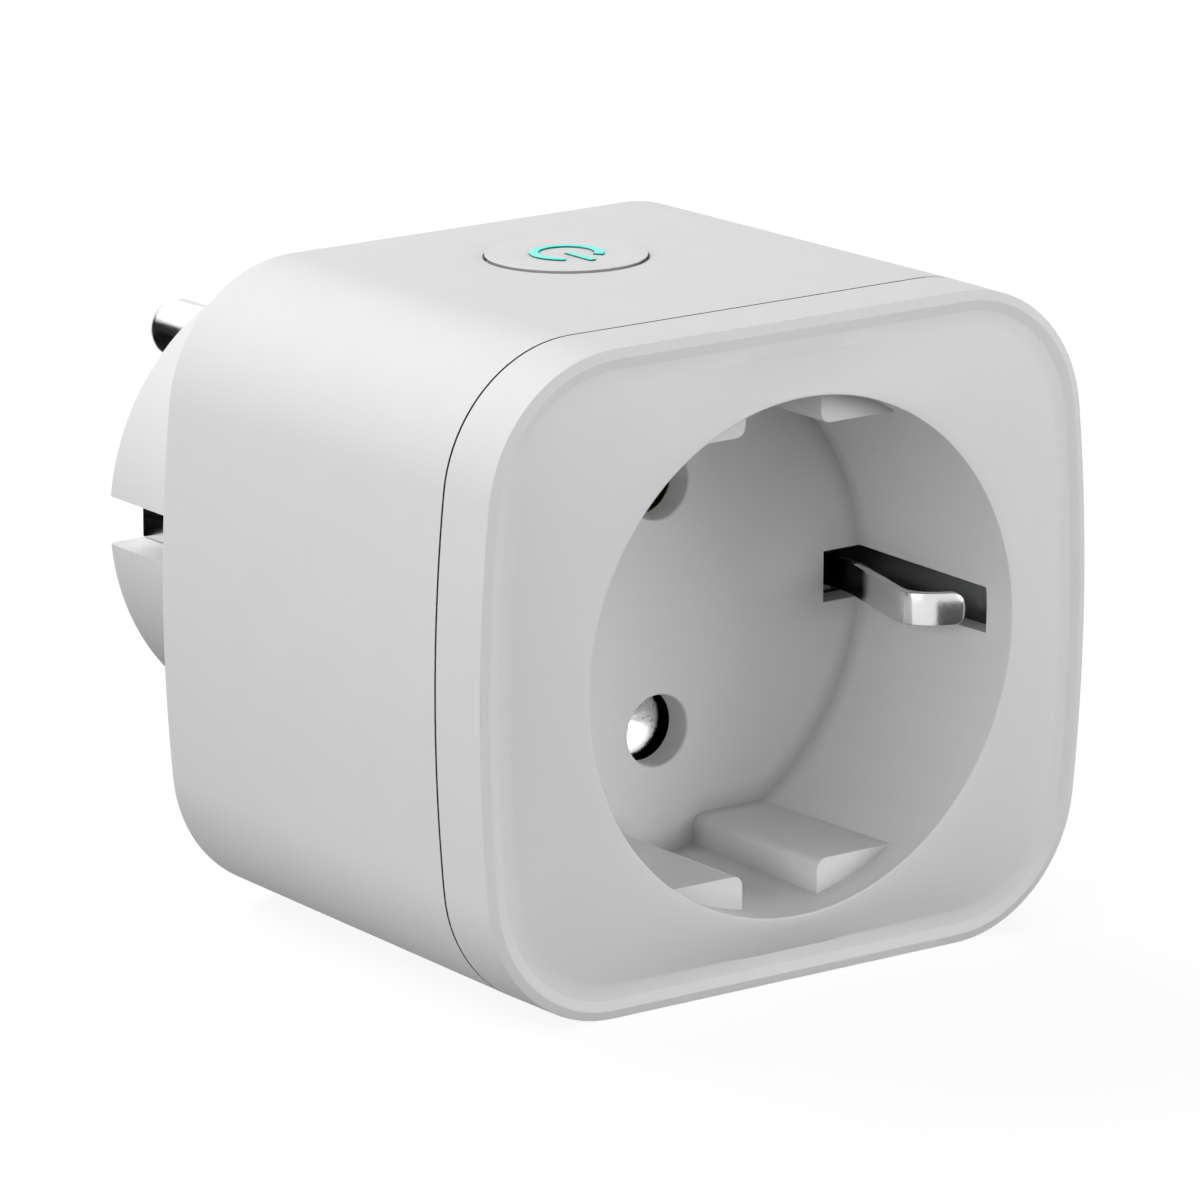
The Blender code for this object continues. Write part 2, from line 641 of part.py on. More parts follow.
def plug_pins(finish):
    """Round pins with a collar behind the boss's end wall and a tail in the main board."""
    radius, tail = PIN_DIAMETER / 2, PIN_TAIL_DIAMETER / 2
    collar = radius + PIN_COLLAR_RIM
    collar_back = -BOSS_END - CLEARANCE
    steps = [
        (tail, BOARD_Y + CLEARANCE),
        (tail, collar_back - PIN_COLLAR_THICKNESS),
        (collar, collar_back - PIN_COLLAR_THICKNESS),
        (collar, collar_back),
        (radius, collar_back),
        *rounded_end(radius, PIN_LENGTH, PIN_TIP_RADIUS, 1),
    ]
    for name, z in (("upper_pin", PIN_Z), ("lower_pin", -PIN_Z)):
        piece(name, finish, lambda bm: turned(bm, "Y", steps, SMALL_STEPS, 0.0, z))


def earth_contacts(finish):
    """The strips in the boss's notches, the strap behind the well and the two sprung clips."""
    strip_ends = (BOARD_BACK_Y + CLEARANCE, 0.0)
    for side_name, side in SIDES:
        x = sorted((side * STRIP_X, side * (STRIP_X + STRIP_THICKNESS)))
        name = f"plug_earth_contact_{side_name}"
        piece(name, finish, lambda bm: block(bm, x, strip_ends, centred(STRIP_WIDTH)))

    strap_y = FLOOR_BACK_Y + CLEARANCE
    leg_end = FLANGE_Y - CLEARANCE
    wing = CLIP_X + STRIP_THICKNESS
    half = [
        (LEG_X, strap_y + STRIP_THICKNESS),
        (LEG_X, leg_end),
        (LEG_X + STRIP_THICKNESS, leg_end),
        (LEG_X + STRIP_THICKNESS, strap_y + STRIP_THICKNESS),
        (wing, strap_y + STRIP_THICKNESS),
        (wing, strap_y),
    ]
    strap = half + [(-x, y) for x, y in reversed(half)]
    piece("earth_bridge", finish, lambda bm: prism(bm, "Z", strap, *centred(STRIP_WIDTH)))

    for side_name, side in SIDES:
        points = [(side * CLIP_X, FLOOR_BACK_Y - CLEARANCE / 2), (side * CLIP_X, CLIP_AXIS_Y)]
        points += [(side * (CLIP_X - inward), CLIP_AXIS_Y - ahead) for inward, ahead in CLIP_PATH]
        outline = ribbon(smooth_path(points, EDGE_STEPS), STRIP_THICKNESS)
        origin = (side * CLIP_X, CLIP_AXIS_Y, 0.0)
        name = f"earth_clip_{side_name}"
        piece(name, finish, lambda bm: prism(bm, "Z", outline, *centred(CLIP_WIDTH)), origin)


def contact_sleeves(finish):
    """Slit sleeves behind the pin holes, between the well's floor and the main board."""
    outer, inner = SLEEVE_RADIUS, SLEEVE_BORE / 2
    ends = (MOUNTED_Y, FLOOR_BACK_Y + SLEEVE_SET_BACK)
    half_gap = math.asin(SLEEVE_SLIT / 2 / outer)
    for name, z in (("upper_contact_sleeve", PIN_Z), ("lower_contact_sleeve", -PIN_Z)):
        outline = ring_sector(outer, inner, 0.0, half_gap, SMALL_STEPS, 0.0, z)
        piece(name, finish, lambda bm: prism(bm, "Y", outline, *ends))


def symbol(bm, low, high, grow):
    """The open ring and the bar of a power mark, widened all round by grow."""
    outer = SYMBOL_DIAMETER / 2
    middle = outer - SYMBOL_STROKE / 2
    half_gap = math.radians(SYMBOL_OPENING / 2) - grow / middle
    inner = outer - SYMBOL_STROKE
    ring = ring_sector(outer + grow, inner - grow, -math.pi / 2, half_gap, SMALL_STEPS, 0.0, BUTTON_Y)
    prism(bm, "Z", ring, low, high)
    half_bar = SYMBOL_STROKE / 2 + grow
    bar = (BUTTON_Y - SYMBOL_BAR_FRONT - grow, BUTTON_Y + SYMBOL_BAR_BACK + grow)
    block(bm, (-half_bar, half_bar), bar, (low, high))


def button(cap_finish, lens_finish):
    """The flanged cap, and the clear moulding that lights its mark and pushes the switch."""
    bore = BUTTON_RADIUS - BUTTON_WALL

    def cap(bm):
        steps = [
            (bore, CAP_CEILING_Z),
            (bore, RIM_BOTTOM_Z),
            (BUTTON_RIM_RADIUS, RIM_BOTTOM_Z),
            (BUTTON_RIM_RADIUS, RIM_Z),
            (BUTTON_RADIUS, RIM_Z),
            *rounded_end(BUTTON_RADIUS, CAP_Z, BUTTON_EDGE, 1),
        ]
        turned(bm, "Z", steps, LARGE_STEPS, 0.0, BUTTON_Y)

    def lens(bm):
        stem, base = LENS_STEM_DIAMETER / 2, bore - CLEARANCE
        low = LENS_Z - LENS_THICKNESS
        steps = [(stem, STEM_Z), (stem, low), (base, low), (base, LENS_Z)]
        turned(bm, "Z", steps, SMALL_STEPS, 0.0, BUTTON_Y)

    origin = (0.0, BUTTON_Y, CAP_Z)
    made = piece("power_button", cap_finish, cap, origin)
    slot_ends = (CAP_CEILING_Z - CUT_OVER, CAP_Z + CUT_OVER)
    cut(made, "symbol_slots", lambda bm: symbol(bm, *slot_ends, SYMBOL_GAP))
    made = piece("power_symbol_lens", lens_finish, lens, origin)
    join(made, "symbol", lambda bm: symbol(bm, LENS_Z - BURY, CAP_Z + SYMBOL_PROUD, 0.0))


def button_switch(board_finish, switch_finish, plunger_finish, led_finish):
    """The small board under the button with its push switch and the light for the mark."""
    plunger = PLUNGER_DIAMETER / 2
    plunger_bottom = TACT_Z - PLUNGER_SUNK

    def plunger_rod(bm):
        ends = [(plunger, plunger_bottom), (plunger, PLUNGER_Z)]
        turned(bm, "Z", ends, SMALL_STEPS, 0.0, BUTTON_Y)

    def switch_body(bm):
        block(bm, centred(TACT_SIDE), centred(TACT_SIDE, BUTTON_Y), (TACT_BOTTOM_Z, TACT_Z))

    def plunger_bore(bm):
        bore = plunger + CLEARANCE
        bottom = plunger_bottom - BUTTON_TRAVEL - CLEARANCE
        turned(bm, "Z", [(bore, bottom), (bore, TACT_Z + CUT_OVER)], SMALL_STEPS, 0.0, BUTTON_Y)

    def board(bm):
        y = centred(BUTTON_BOARD_LENGTH, BUTTON_Y)
        block(bm, centred(BUTTON_BOARD_WIDTH), y, (BUTTON_BOARD_BOTTOM_Z, BUTTON_BOARD_Z))

    def peg_holes(bm):
        radius = BUTTON_PEG_DIAMETER / 2 + CLEARANCE
        ends = [(radius, BUTTON_BOARD_BOTTOM_Z - CUT_OVER), (radius, BUTTON_BOARD_Z + CUT_OVER)]
        for x in centred(BUTTON_POST_SPACING):
            turned(bm, "Z", ends, SMALL_STEPS, x, BUTTON_Y)

    def led(bm):
        x = TACT_SIDE / 2 + CLEARANCE
        low = BUTTON_BOARD_Z + CLEARANCE
        block(bm, (x, x + LED_WIDTH), centred(LED_DEPTH, BUTTON_Y), (low, low + LED_HEIGHT))

    piece("switch_plunger", plunger_finish, plunger_rod, (0.0, BUTTON_Y, PLUNGER_Z))
    cut(piece("tact_switch", switch_finish, switch_body), "plunger_bore", plunger_bore)
    cut(piece("button_board", board_finish, board), "peg_holes", peg_holes)
    piece("status_led", led_finish, led)


def main_board(finish):
    """The upright circuit board in front of the plug base."""

    def plate(bm):
        y, z = (BOARD_Y, BOARD_BACK_Y), (BOARD_BOTTOM_Z, BOARD_TOP_Z)
        block(bm, (-BOARD_HALF_WIDTH, BOARD_HALF_WIDTH), y, z)

    def tail_holes(bm):
        radius = PIN_TAIL_DIAMETER / 2 + CLEARANCE
        for z in centred(PIN_SPACING):
            ends = [(radius, BOARD_Y - CUT_OVER), (radius, BOARD_BACK_Y + CUT_OVER)]
            turned(bm, "Y", ends, SMALL_STEPS, 0.0, z)

    cut(piece("main_board", finish, plate), "tail_holes", tail_holes)


def board_components(finishes):
    """What the main board carries: power parts on its front, the radio on its back."""
    front = MOUNTED_Y
    relay_bottom = RELAY_TOP_Z - RELAY_HEIGHT
    transformer_bottom = RELAY_TOP_Z - TRANSFORMER_HEIGHT
    capacitor_z = transformer_bottom - COMPONENT_SPACING - CAPACITOR_DIAMETER / 2
    module_y = BOARD_BACK_Y + CLEARANCE
    can_y = module_y + MODULE_THICKNESS + CLEARANCE
    can_back_y = can_y + CAN_DEPTH

    def relay(bm):
        y, z = (front - RELAY_DEPTH, front), (relay_bottom, RELAY_TOP_Z)
        block(bm, (-COMPONENT_END_X, -COMPONENT_X), y, z)

    def transformer(bm):
        y, z = (front - TRANSFORMER_DEPTH, front), (transformer_bottom, RELAY_TOP_Z)
        block(bm, (COMPONENT_X, COMPONENT_END_X), y, z)

    def filter_capacitor(bm):
        radius = CAPACITOR_DIAMETER / 2
        ends = [(radius, front - CAPACITOR_LENGTH), (radius, front)]
        turned(bm, "Y", ends, SMALL_STEPS, COMPONENT_X + radius, capacitor_z)

    def varistor(bm):
        radius = VARISTOR_DIAMETER / 2
        top = relay_bottom - COMPONENT_SPACING
        ends = [(radius, top - VARISTOR_THICKNESS), (radius, top)]
        turned(bm, "Z", ends, SMALL_STEPS, -COMPONENT_X - radius, front - radius)

    def fuse(bm):
        radius = FUSE_DIAMETER / 2
        z = capacitor_z - CAPACITOR_DIAMETER / 2 - COMPONENT_SPACING - radius
        ends = [(radius, COMPONENT_X), (radius, COMPONENT_X + FUSE_LENGTH)]
        turned(bm, "X", ends, SMALL_STEPS, front - radius, z)

    def wifi_module(bm):
        y = (module_y, module_y + MODULE_THICKNESS)
        block(bm, centred(MODULE_WIDTH), y, centred(MODULE_HEIGHT))

    def shield_can(bm):
        block(bm, centred(CAN_WIDTH), (can_y, can_back_y), centred(CAN_HEIGHT))

    def can_inside(bm):
        x, z = centred(CAN_WIDTH - 2 * CAN_WALL), centred(CAN_HEIGHT - 2 * CAN_WALL)
        block(bm, x, (can_y - CUT_OVER, can_back_y - CAN_WALL), z)

    for fill in (relay, transformer, filter_capacitor, varistor, fuse, wifi_module):
        piece(fill.__name__, finishes[fill.__name__], fill)
    cut(piece("shield_can", finishes["shield_can"], shield_can), "inside", can_inside)


def case_screws(finish):
    """Four cross-head screws from the back face into the cover's posts."""
    head, shank = SCREW_HEAD_DIAMETER / 2, SCREW_SHANK_DIAMETER / 2
    top = BACK_Y - SCREW_SUNK
    under = top - SCREW_HEAD_THICKNESS
    steps = [(shank, SCREW_SEAT_Y - SCREW_LENGTH), (shank, under), (head, under), (head, top)]
    arm, half = SCREW_CROSS_LENGTH / 2, SCREW_CROSS_WIDTH / 2
    for number, (sx, sz) in enumerate(CORNERS, start=1):
        x, z = sx * SCREW_X, sz * SCREW_Z
        corner = [(arm, half), (half, half), (half, arm)]
        cross = []
        for _ in range(4):
            cross += corner
            corner = [(-v, u) for u, v in corner]
        outline = [(x + u, z + v) for u, v in cross]
        screw = piece(f"case_screw_{number}", finish, lambda bm: turned(bm, "Y", steps, SMALL_STEPS, x, z))
        cut(screw, "cross", lambda bm: prism(bm, "Y", outline, top - SCREW_CROSS_DEPTH, top + CUT_OVER))


def build():
    for old in list(bpy.data.objects):
        bpy.data.objects.remove(old, do_unlink=True)
    white = material("white polycarbonate", (0.74, 0.74, 0.74), 0.38)
    metal = material("nickel-plated brass", (0.66, 0.64, 0.60), 0.22, 1.0)
    steel = material("spring steel", (0.56, 0.56, 0.57), 0.25, 1.0)
    board = material("circuit board", (0.03, 0.17, 0.07), 0.5)
    black = material("black thermoplastic", (0.03, 0.03, 0.03), 0.5)
    aluminium = material("aluminium", (0.6, 0.6, 0.62), 0.35, 1.0)
    rear_shell(white)
    front_cover(material("white polycarbonate cover", (0.72, 0.72, 0.72), 0.38))
    plug_base(material("white polycarbonate base", (0.74, 0.74, 0.74), 0.4))
    plug_pins(metal)
    earth_contacts(steel)
    contact_sleeves(material("brass", (0.75, 0.6, 0.3), 0.3, 1.0))
    button(
        material("white button", (0.75, 0.75, 0.75), 0.36),
        material("turquoise lens", (0.1, 0.75, 0.73), 0.3),
    )
    button_switch(
        board,
        black,
        material("switch plunger", (0.1, 0.1, 0.1), 0.5),
        material("white led", (0.8, 0.8, 0.7), 0.4),
    )
    main_board(board)
    board_components(
        {
            "relay": material("relay case", (0.02, 0.06, 0.2), 0.4),
            "transformer": material("ferrite and tape", (0.55, 0.45, 0.08), 0.6),
            "filter_capacitor": black,
            "varistor": material("epoxy disc", (0.02, 0.09, 0.3), 0.45),
            "fuse": material("fuse body", (0.35, 0.3, 0.2), 0.5),
            "wifi_module": board,
            "shield_can": aluminium,
        }
    )
    case_screws(material("zinc-plated steel", (0.5, 0.5, 0.52), 0.35, 1.0))


build()
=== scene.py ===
"""Looks of the smart plug: fine shells, contacts and finishes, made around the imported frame.

Lengths are metres. The socket faces -Y, the plug's rear face is at y = 0 and +Z is up.
"""

import math

import bmesh
import bpy
from mathutils import Matrix, Vector


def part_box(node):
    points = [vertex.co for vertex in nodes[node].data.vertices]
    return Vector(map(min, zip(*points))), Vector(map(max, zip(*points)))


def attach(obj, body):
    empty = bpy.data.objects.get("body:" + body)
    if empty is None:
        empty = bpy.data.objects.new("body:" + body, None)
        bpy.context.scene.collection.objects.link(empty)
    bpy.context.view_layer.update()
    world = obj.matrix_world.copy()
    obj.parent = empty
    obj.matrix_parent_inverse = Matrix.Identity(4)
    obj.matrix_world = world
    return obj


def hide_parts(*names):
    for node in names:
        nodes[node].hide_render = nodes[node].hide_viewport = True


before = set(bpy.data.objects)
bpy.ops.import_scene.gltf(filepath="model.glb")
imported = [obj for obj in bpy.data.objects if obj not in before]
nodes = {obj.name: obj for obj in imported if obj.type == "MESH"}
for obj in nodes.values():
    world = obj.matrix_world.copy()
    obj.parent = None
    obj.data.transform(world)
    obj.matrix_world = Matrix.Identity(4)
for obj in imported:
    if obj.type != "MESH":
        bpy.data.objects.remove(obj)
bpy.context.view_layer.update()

MM = 0.001

# The photograph's camera: turned to the left of the socket's axis and raised, aimed at a point in the case
CAMERA_AZIMUTH = -36.676
CAMERA_ELEVATION = 14.752
CAMERA_ROLL = 0.175
CAMERA_DISTANCE = 644.85 * MM
CAMERA_TARGET = Vector((2.838, -35.446, -2.182)) * MM
CAMERA_LENS = 255.73  # in millimetres, as the sensor's width is
CAMERA_SENSOR = 36.0
CAMERA_NEAR = 10.0 * MM  # nearer than this, nothing is drawn

# Places that come from the frame
shell_low, shell_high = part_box("rear_shell")
cover_low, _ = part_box("front_cover")
_, base_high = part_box("plug_base")
button_low, button_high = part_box("power_button")
pin_low, pin_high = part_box("upper_pin")
sleeve_low, sleeve_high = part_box("upper_contact_sleeve")
strip_low, strip_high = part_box("plug_earth_contact_right")
clip_low, clip_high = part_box("earth_clip_right")
SEAM_Y, BACK_Y = shell_low.y, shell_high.y
SEAM_WIDTH, SEAM_HEIGHT = shell_high.x - shell_low.x, shell_high.z - shell_low.z
BUTTON_Y = (button_low.y + button_high.y) / 2
PIN_Z = (pin_low.z + pin_high.z) / 2
FLANGE_RADIUS = base_high.x

# Case
SIDE_DRAFT = 0.45 * MM
TOP_DRAFT = 0.4 * MM
SIDE_BOW = 141.0 * MM  # radius of the bowed sides
CORNER = 11.2 * MM
WALL = 2.0 * MM
BACK_EDGE = 0.25 * MM
SEAM_EDGE = 0.015 * MM
SEAM_GAP = 0.2 * MM
SEAM_SHIFT = 0.205 * MM  # how far the cover's back edge lies behind the CAD's
LIP_GAP = 0.3 * MM
COVER_BACK_Y = SEAM_Y + SEAM_SHIFT - LIP_GAP
SHELL_FRONT_Y = COVER_BACK_Y + SEAM_GAP
BOSS_OPENING_GAP = 0.15 * MM

# Front cover: a low ridge round the rim, a flat groove and a pillowed face
RIM_DEPTH = 5.5 * MM
RIM_Y = SEAM_Y - RIM_DEPTH
RIM_EDGE = 0.08 * MM
BAND_EDGE = 0.05 * MM
RIDGE_INSET = 0.7 * MM
RIDGE_HEIGHT = 0.25 * MM
RIDGE_Y = RIM_Y - RIDGE_HEIGHT
GROOVE_INSET = 1.5 * MM
GROOVE_WIDTH = 0.9 * MM
GROOVE_DEPTH = 0.17 * MM
GROOVE_Y = RIDGE_Y + GROOVE_DEPTH
PILLOW_POWER = 1.5  # how fast the face levels out from the groove
FACE_SET_BACK = 0.13 * MM  # how far the face lies behind the CAD's
FACE_Y = cover_low.y + FACE_SET_BACK
FACE_THICKNESS = 2.0 * MM
LIP_THICKNESS = 1.2 * MM
LIP_Y = -54.0 * MM

# Socket well
WELL_RADIUS = 19.5 * MM
WELL_DEPTH = 17.8 * MM
WELL_DRAFT = 0.35 * MM
WELL_WALL = 1.6 * MM
WELL_FLOOR = 2.2 * MM
MOUTH_EDGE = 0.08 * MM
FLOOR_EDGE = 0.02 * MM
FLOOR_Y = cover_low.y + WELL_DEPTH
FLOOR_BACK_Y = FLOOR_Y + WELL_FLOOR
PIN_HOLE_RADIUS = 2.75 * MM
PIN_HOLE_EDGE = 0.2 * MM
RIB_FLAT = 16.5 * MM  # from the well's axis up to a rib
RIB_SIDE = 3.45 * MM  # from the middle plane out to a rib
RIB_LENGTH = 15.0 * MM
RIB_CORNER = 0.85 * MM
RIB_END_EDGE = 0.08 * MM
SLOT_REACH = 3.9 * MM  # how far a slot runs into the well's floor
SLOT_PAST = 0.5 * MM  # and how far past the well's wall
SLOT_LENGTH = 14.8 * MM
SLOT_WIDTH = 4.0 * MM
SLOT_FRONT_WIDTH = 3.5 * MM

# Plug base
BOSS_RADIUS = 18.35 * MM
BOSS_BASE_RADIUS = 18.55 * MM
BOSS_EDGE = 0.6 * MM
BOSS_BORE = 15.25 * MM
BOSS_END = 3.0 * MM
FLANGE_Y = -25.3 * MM
FLANGE_BACK_Y = -23.5 * MM
NOTCH_FLOOR = 13.9 * MM
NOTCH_WIDTH = 3.8 * MM
NOTCH_LENGTH = 18.0 * MM
NOTCH_CORNER = 0.25 * MM
CHANNEL_WALL = 1.6 * MM

# Pins, contacts and screws
PIN_RADIUS = 2.4 * MM
PIN_TIP = 1.9 * MM
PIN_SEAT_GAP = 0.12 * MM
PIN_SEAT_EDGE = 0.2 * MM
STRIP_EDGE = 0.05 * MM
STRIP_END = 0.1 * MM
STRIP_GAP = 0.05 * MM
SLEEVE_THICKNESS = 0.2 * MM
SLEEVE_MOUTH = 2.45 * MM
SLEEVE_NECK = 0.6 * MM
SLEEVE_FUNNEL = 0.8 * MM
SLEEVE_GRIP = 3.0 * MM
SLEEVE_SLIT = math.radians(14.3615)  # the turn that the slit leaves open
SLEEVE_SLIT_TURN = math.radians(58)
CLIP_ROOT = 2.0 * MM
CLIP_AXIS = 0.85 * MM
CLIP_THICKNESS = 0.75 * MM
CLIP_EDGE = 0.1 * MM
CLIP_END = 0.9 * MM
CLIP_SHADE = 3.2 * MM  # from the axis forward: the part of the clip painted near black as shade
CLIP_SHADE_FADE = 0.5 * MM
CLIP_SHADE_EDGE = 1.3 * MM  # the same, on the strip's upper edge
CLIP_PATH = (  # from the axis that the clip flexes about: inward, then forward
    (1.3 * MM, 5.1 * MM),
    (2.0 * MM, 7.6 * MM),
    (2.3 * MM, 8.75 * MM),
    (2.38 * MM, 9.5 * MM),
    (2.2 * MM, 10.2 * MM),
    (1.75 * MM, 10.8 * MM),
    (1.15 * MM, 11.3 * MM),
    (0.35 * MM, 11.78 * MM),
    (-1.0 * MM, 12.43 * MM),
)
SCREW_HEAD_RADIUS = 2.3 * MM
SCREW_HEAD_THICKNESS = 1.8 * MM
SCREW_HEAD_EDGE = 0.5 * MM
SCREW_SUNK = 0.3 * MM
SCREW_SHANK_RADIUS = 1.2 * MM
SCREW_SEAT_GAP = 0.2 * MM
SCREW_SEAT_EDGE = 0.15 * MM
SCREW_CROSS_LENGTH = 2.7 * MM
SCREW_CROSS_WIDTH = 0.7 * MM
SCREW_CROSS_DEPTH = 1.0 * MM
SCREW_CROSS_TAPER = 0.55  # share of the cross left at its bottom

# Button and its mark
BUTTON_RADIUS = 6.1 * MM
BUTTON_GAP = 0.17 * MM
BUTTON_PROUD = 0.22 * MM
BUTTON_EDGE = 0.03 * MM
BUTTON_DISC = 0.07 * MM  # thickness of the top above the undercut
BUTTON_NECK = 0.25 * MM
BUTTON_NECK_DEPTH = 0.5 * MM
BUTTON_TOP = 1.5 * MM
BUTTON_WALL = 1.3 * MM
BUTTON_RIM_DROP = 0.5 * MM  # from the case's inside down to the rim that keeps the button in
MARK_RADIUS = 2.82 * MM
MARK_STROKE = 0.72 * MM
MARK_BAR = 0.5 * MM
MARK_OPENING = math.radians(76)
MARK_BAR_BACK = -0.1 * MM  # how far the bar runs behind the button's middle
MARK_BAR_FRONT = 3.4 * MM  # and in front of it
MARK_PROUD = 0.13 * MM
MARK_EDGE = 0.03 * MM
MARK_GAP = 0.02 * MM
MARK_FOOT = 0.5 * MM  # how far the strokes reach below the button's top wall

# Studio
FLOOR_REACH = 3.0
FLOOR_GLOW = 0.88  # with the light that falls on the floor, this comes to white
STUDIO_LIGHT = 0.13  # the even light from all sides
LAMP_DISTANCE = 0.9
FLAG_LIFT = 0.2 * MM
FLAG_REACH = 5.0 * MM  # from below the plug's rear face to the near end of a flag's foot

# Mesh fineness: points on each quarter of the case, and round small turned pieces
SIDE_STEPS = 24
CORNER_STEPS = 20
FLAT_STEPS = 20
EDGE_STEPS = 6
RELIEF_STEPS = 16
ROUND_STEPS = 96

# Cutters, joins and edges
OVERCUT = 1.0 * MM  # how far a cutter runs past the wall that it cuts
BURY = 0.5 * MM  # how deep a joined solid is sunk into its wall
EDGE_LOOP = 1.0 * MM  # from an edge to the loop that keeps a long wall's shading even
EDGE_HOLD = 1.5  # the same for a flat end, as a multiple of the end's round edge
BUTTON_HOLD = 3.0  # the same, on the button's top
SHARP = math.radians(35)  # edges that turn more than this stay crisp

# How faces are told apart for a second finish
MARGIN = 0.5 * MM
FACING = 0.5  # a face looks some way when more than this share of its normal points there
SQUARE_ON = 0.9  # the same, for a face that looks straight there

TOP_SLOPE = -math.atan2(TOP_DRAFT, BACK_Y - SEAM_Y)
CORNERS = ((-1, -1), (1, -1), (-1, 1), (1, 1))
SIDES = (("left", -1), ("right", 1))


def case_size(y):
    """Width and height of the tapered case at a place along Y."""
    share = max(y - SEAM_Y, 0.0) / (BACK_Y - SEAM_Y)
    return SEAM_WIDTH - 2 * SIDE_DRAFT * share, SEAM_HEIGHT - 2 * TOP_DRAFT * share


CASE_TOP_Z = case_size(BUTTON_Y)[1] / 2


# Outlines


def arc(radius, start, end, steps, cu=0.0, cv=0.0):
    """Points of a circular arc between two angles, both ends included."""
    turns = [start + (end - start) * i / steps for i in range(steps + 1)]
    return [(cu + radius * math.cos(t), cv + radius * math.sin(t)) for t in turns]


def case_outline(width, height, inset=0.0):
    """Bowed sides, flat top and bottom and round corners, drawn in by inset."""
    half_w, half_h = width / 2 - inset, height / 2 - inset
    bow, corner = SIDE_BOW - inset, CORNER - inset
    bow_x, corner_z = half_w - bow, half_h - corner
    corner_x = bow_x + math.sqrt((bow - corner) ** 2 - corner_z**2)
    tangent = math.atan2(corner_z, corner_x - bow_x)
    quarter = arc(bow, 0.0, tangent, SIDE_STEPS, bow_x)
    quarter += arc(corner, tangent, math.pi / 2, CORNER_STEPS, corner_x, corner_z)[1:]
    quarter += [(corner_x * (1 - i / FLAT_STEPS), half_h) for i in range(1, FLAT_STEPS + 1)]
    half = quarter + [(-x, z) for x, z in reversed(quarter[:-1])]
    return half + [(-x, -z) for x, z in half[1:-1]]


def on_circle(outline, radius):
    """A circle with one point on the ray through each point of an outline."""
    return [(x * radius / math.hypot(x, z), z * radius / math.hypot(x, z)) for x, z in outline]


def round_edge(edge, steps=EDGE_STEPS):
    """A quarter round from a side to an end: how far in from the side, and how far short of the end."""
    turns = [math.pi / 2 * i / steps for i in range(steps + 1)]
    return [(edge * (1 - math.cos(t)), edge * (1 - math.sin(t))) for t in turns]


def flare(edge):
    """A quarter round that opens a hole at its rim: how much wider, and how far up from where it begins."""
    return [(inset, edge - short) for inset, short in round_edge(edge)]


def round_rectangle(half_u, half_v, corner, steps=3):
    """A rectangle about the origin with round corners."""
    points = []
    for number, (su, sv) in enumerate(((1, 1), (-1, 1), (-1, -1), (1, -1))):
        start = math.pi / 2 * number
        middle = (su * (half_u - corner), sv * (half_v - corner))
        points += arc(corner, start, start + math.pi / 2, steps, *middle)
    return points


def eased(points, edge):
    """A line through points whose inner corners are cut back by edge to each side."""
    line = [points[0]]
    for corner, *others in zip(points[1:], points, points[2:]):
        for other in others:
            share = edge / math.dist(corner, other)
            line.append(tuple(c + (o - c) * share for c, o in zip(corner, other)))
    return line + [points[-1]]


def smooth_path(points, steps):
    """A smooth curve through points, which runs out straight past the first and the last."""
    ends = [tuple(2 * a - b for a, b in zip(p, q)) for p, q in (points[:2], points[:-3:-1])]
    padded = [ends[0], *points, ends[1]]

    def between(p, q, r, s, t):
        bend, twist = 2 * p - 5 * q + 4 * r - s, 3 * q - p - 3 * r + s
        return (2 * q + (r - p) * t + bend * t**2 + twist * t**3) / 2

    path = []
    for four in zip(padded, padded[1:], padded[2:], padded[3:]):
        for i in range(steps):
            path.append(tuple(between(*values, i / steps) for values in zip(*four)))
    return path + [points[-1]]


# Meshes


def skin(bm, loops, ring=False):
    """Join a stack of equal loops into one body: capped at both ends, or closed on itself as a ring."""
    rings = [[bm.verts.new(point) for point in loop] for loop in loops]
    pairs = list(zip(rings, rings[1:]))
    if ring:
        pairs.append((rings[-1], rings[0]))
    else:
        bm.faces.new(rings[0])
        bm.faces.new(rings[-1])
    for low, high in pairs:
        for i, corner in enumerate(low):
            bm.faces.new((low[i - 1], corner, high[i], high[i - 1]))


def turned_y(bm, profile, x=0.0, z=0.0, steps=ROUND_STEPS):
    """A turned body about an axis along Y; profile gives radius and y from one end to the other."""
    skin(bm, [[(u, y, v) for u, v in arc(r, 0, 2 * math.pi, steps, x, z)[:-1]] for r, y in profile])


def turned_z(bm, profile, x=0.0, y=0.0, steps=ROUND_STEPS):
    """A turned body about an upright axis; profile gives radius and z."""
    skin(bm, [[(u, v, z) for u, v in arc(r, 0, 2 * math.pi, steps, x, y)[:-1]] for r, z in profile])


def block(bm, x, y, z):
    """A box between two limits along each axis."""
    skin(bm, [[(x[0], y[0], h), (x[1], y[0], h), (x[1], y[1], h), (x[0], y[1], h)] for h in z])


def solid(name, fill):
    """An object whose mesh is filled in by a function."""
    bm = bmesh.new()
    fill(bm)
    bmesh.ops.recalc_face_normals(bm, faces=bm.faces)
    mesh = bpy.data.meshes.new(name)
    bm.to_mesh(mesh)
    bm.free()
    made = bpy.data.objects.new(name, mesh)
    bpy.context.scene.collection.objects.link(made)
    return made


def carve(piece, operation, fill):
    """Cut a solid from a piece or join it on, and keep the result as the piece's own mesh."""
    tool = solid("tool", fill)
    step = piece.modifiers.new("carve", "BOOLEAN")
    step.operation = operation
    step.solver = "EXACT"
    step.object = tool
    bpy.context.view_layer.update()
    made = bpy.data.meshes.new_from_object(piece.evaluated_get(bpy.context.evaluated_depsgraph_get()))
    piece.modifiers.clear()
    old, piece.data = piece.data, made
    bpy.data.meshes.remove(old)
    spare = tool.data
    bpy.data.objects.remove(tool)
    bpy.data.meshes.remove(spare)


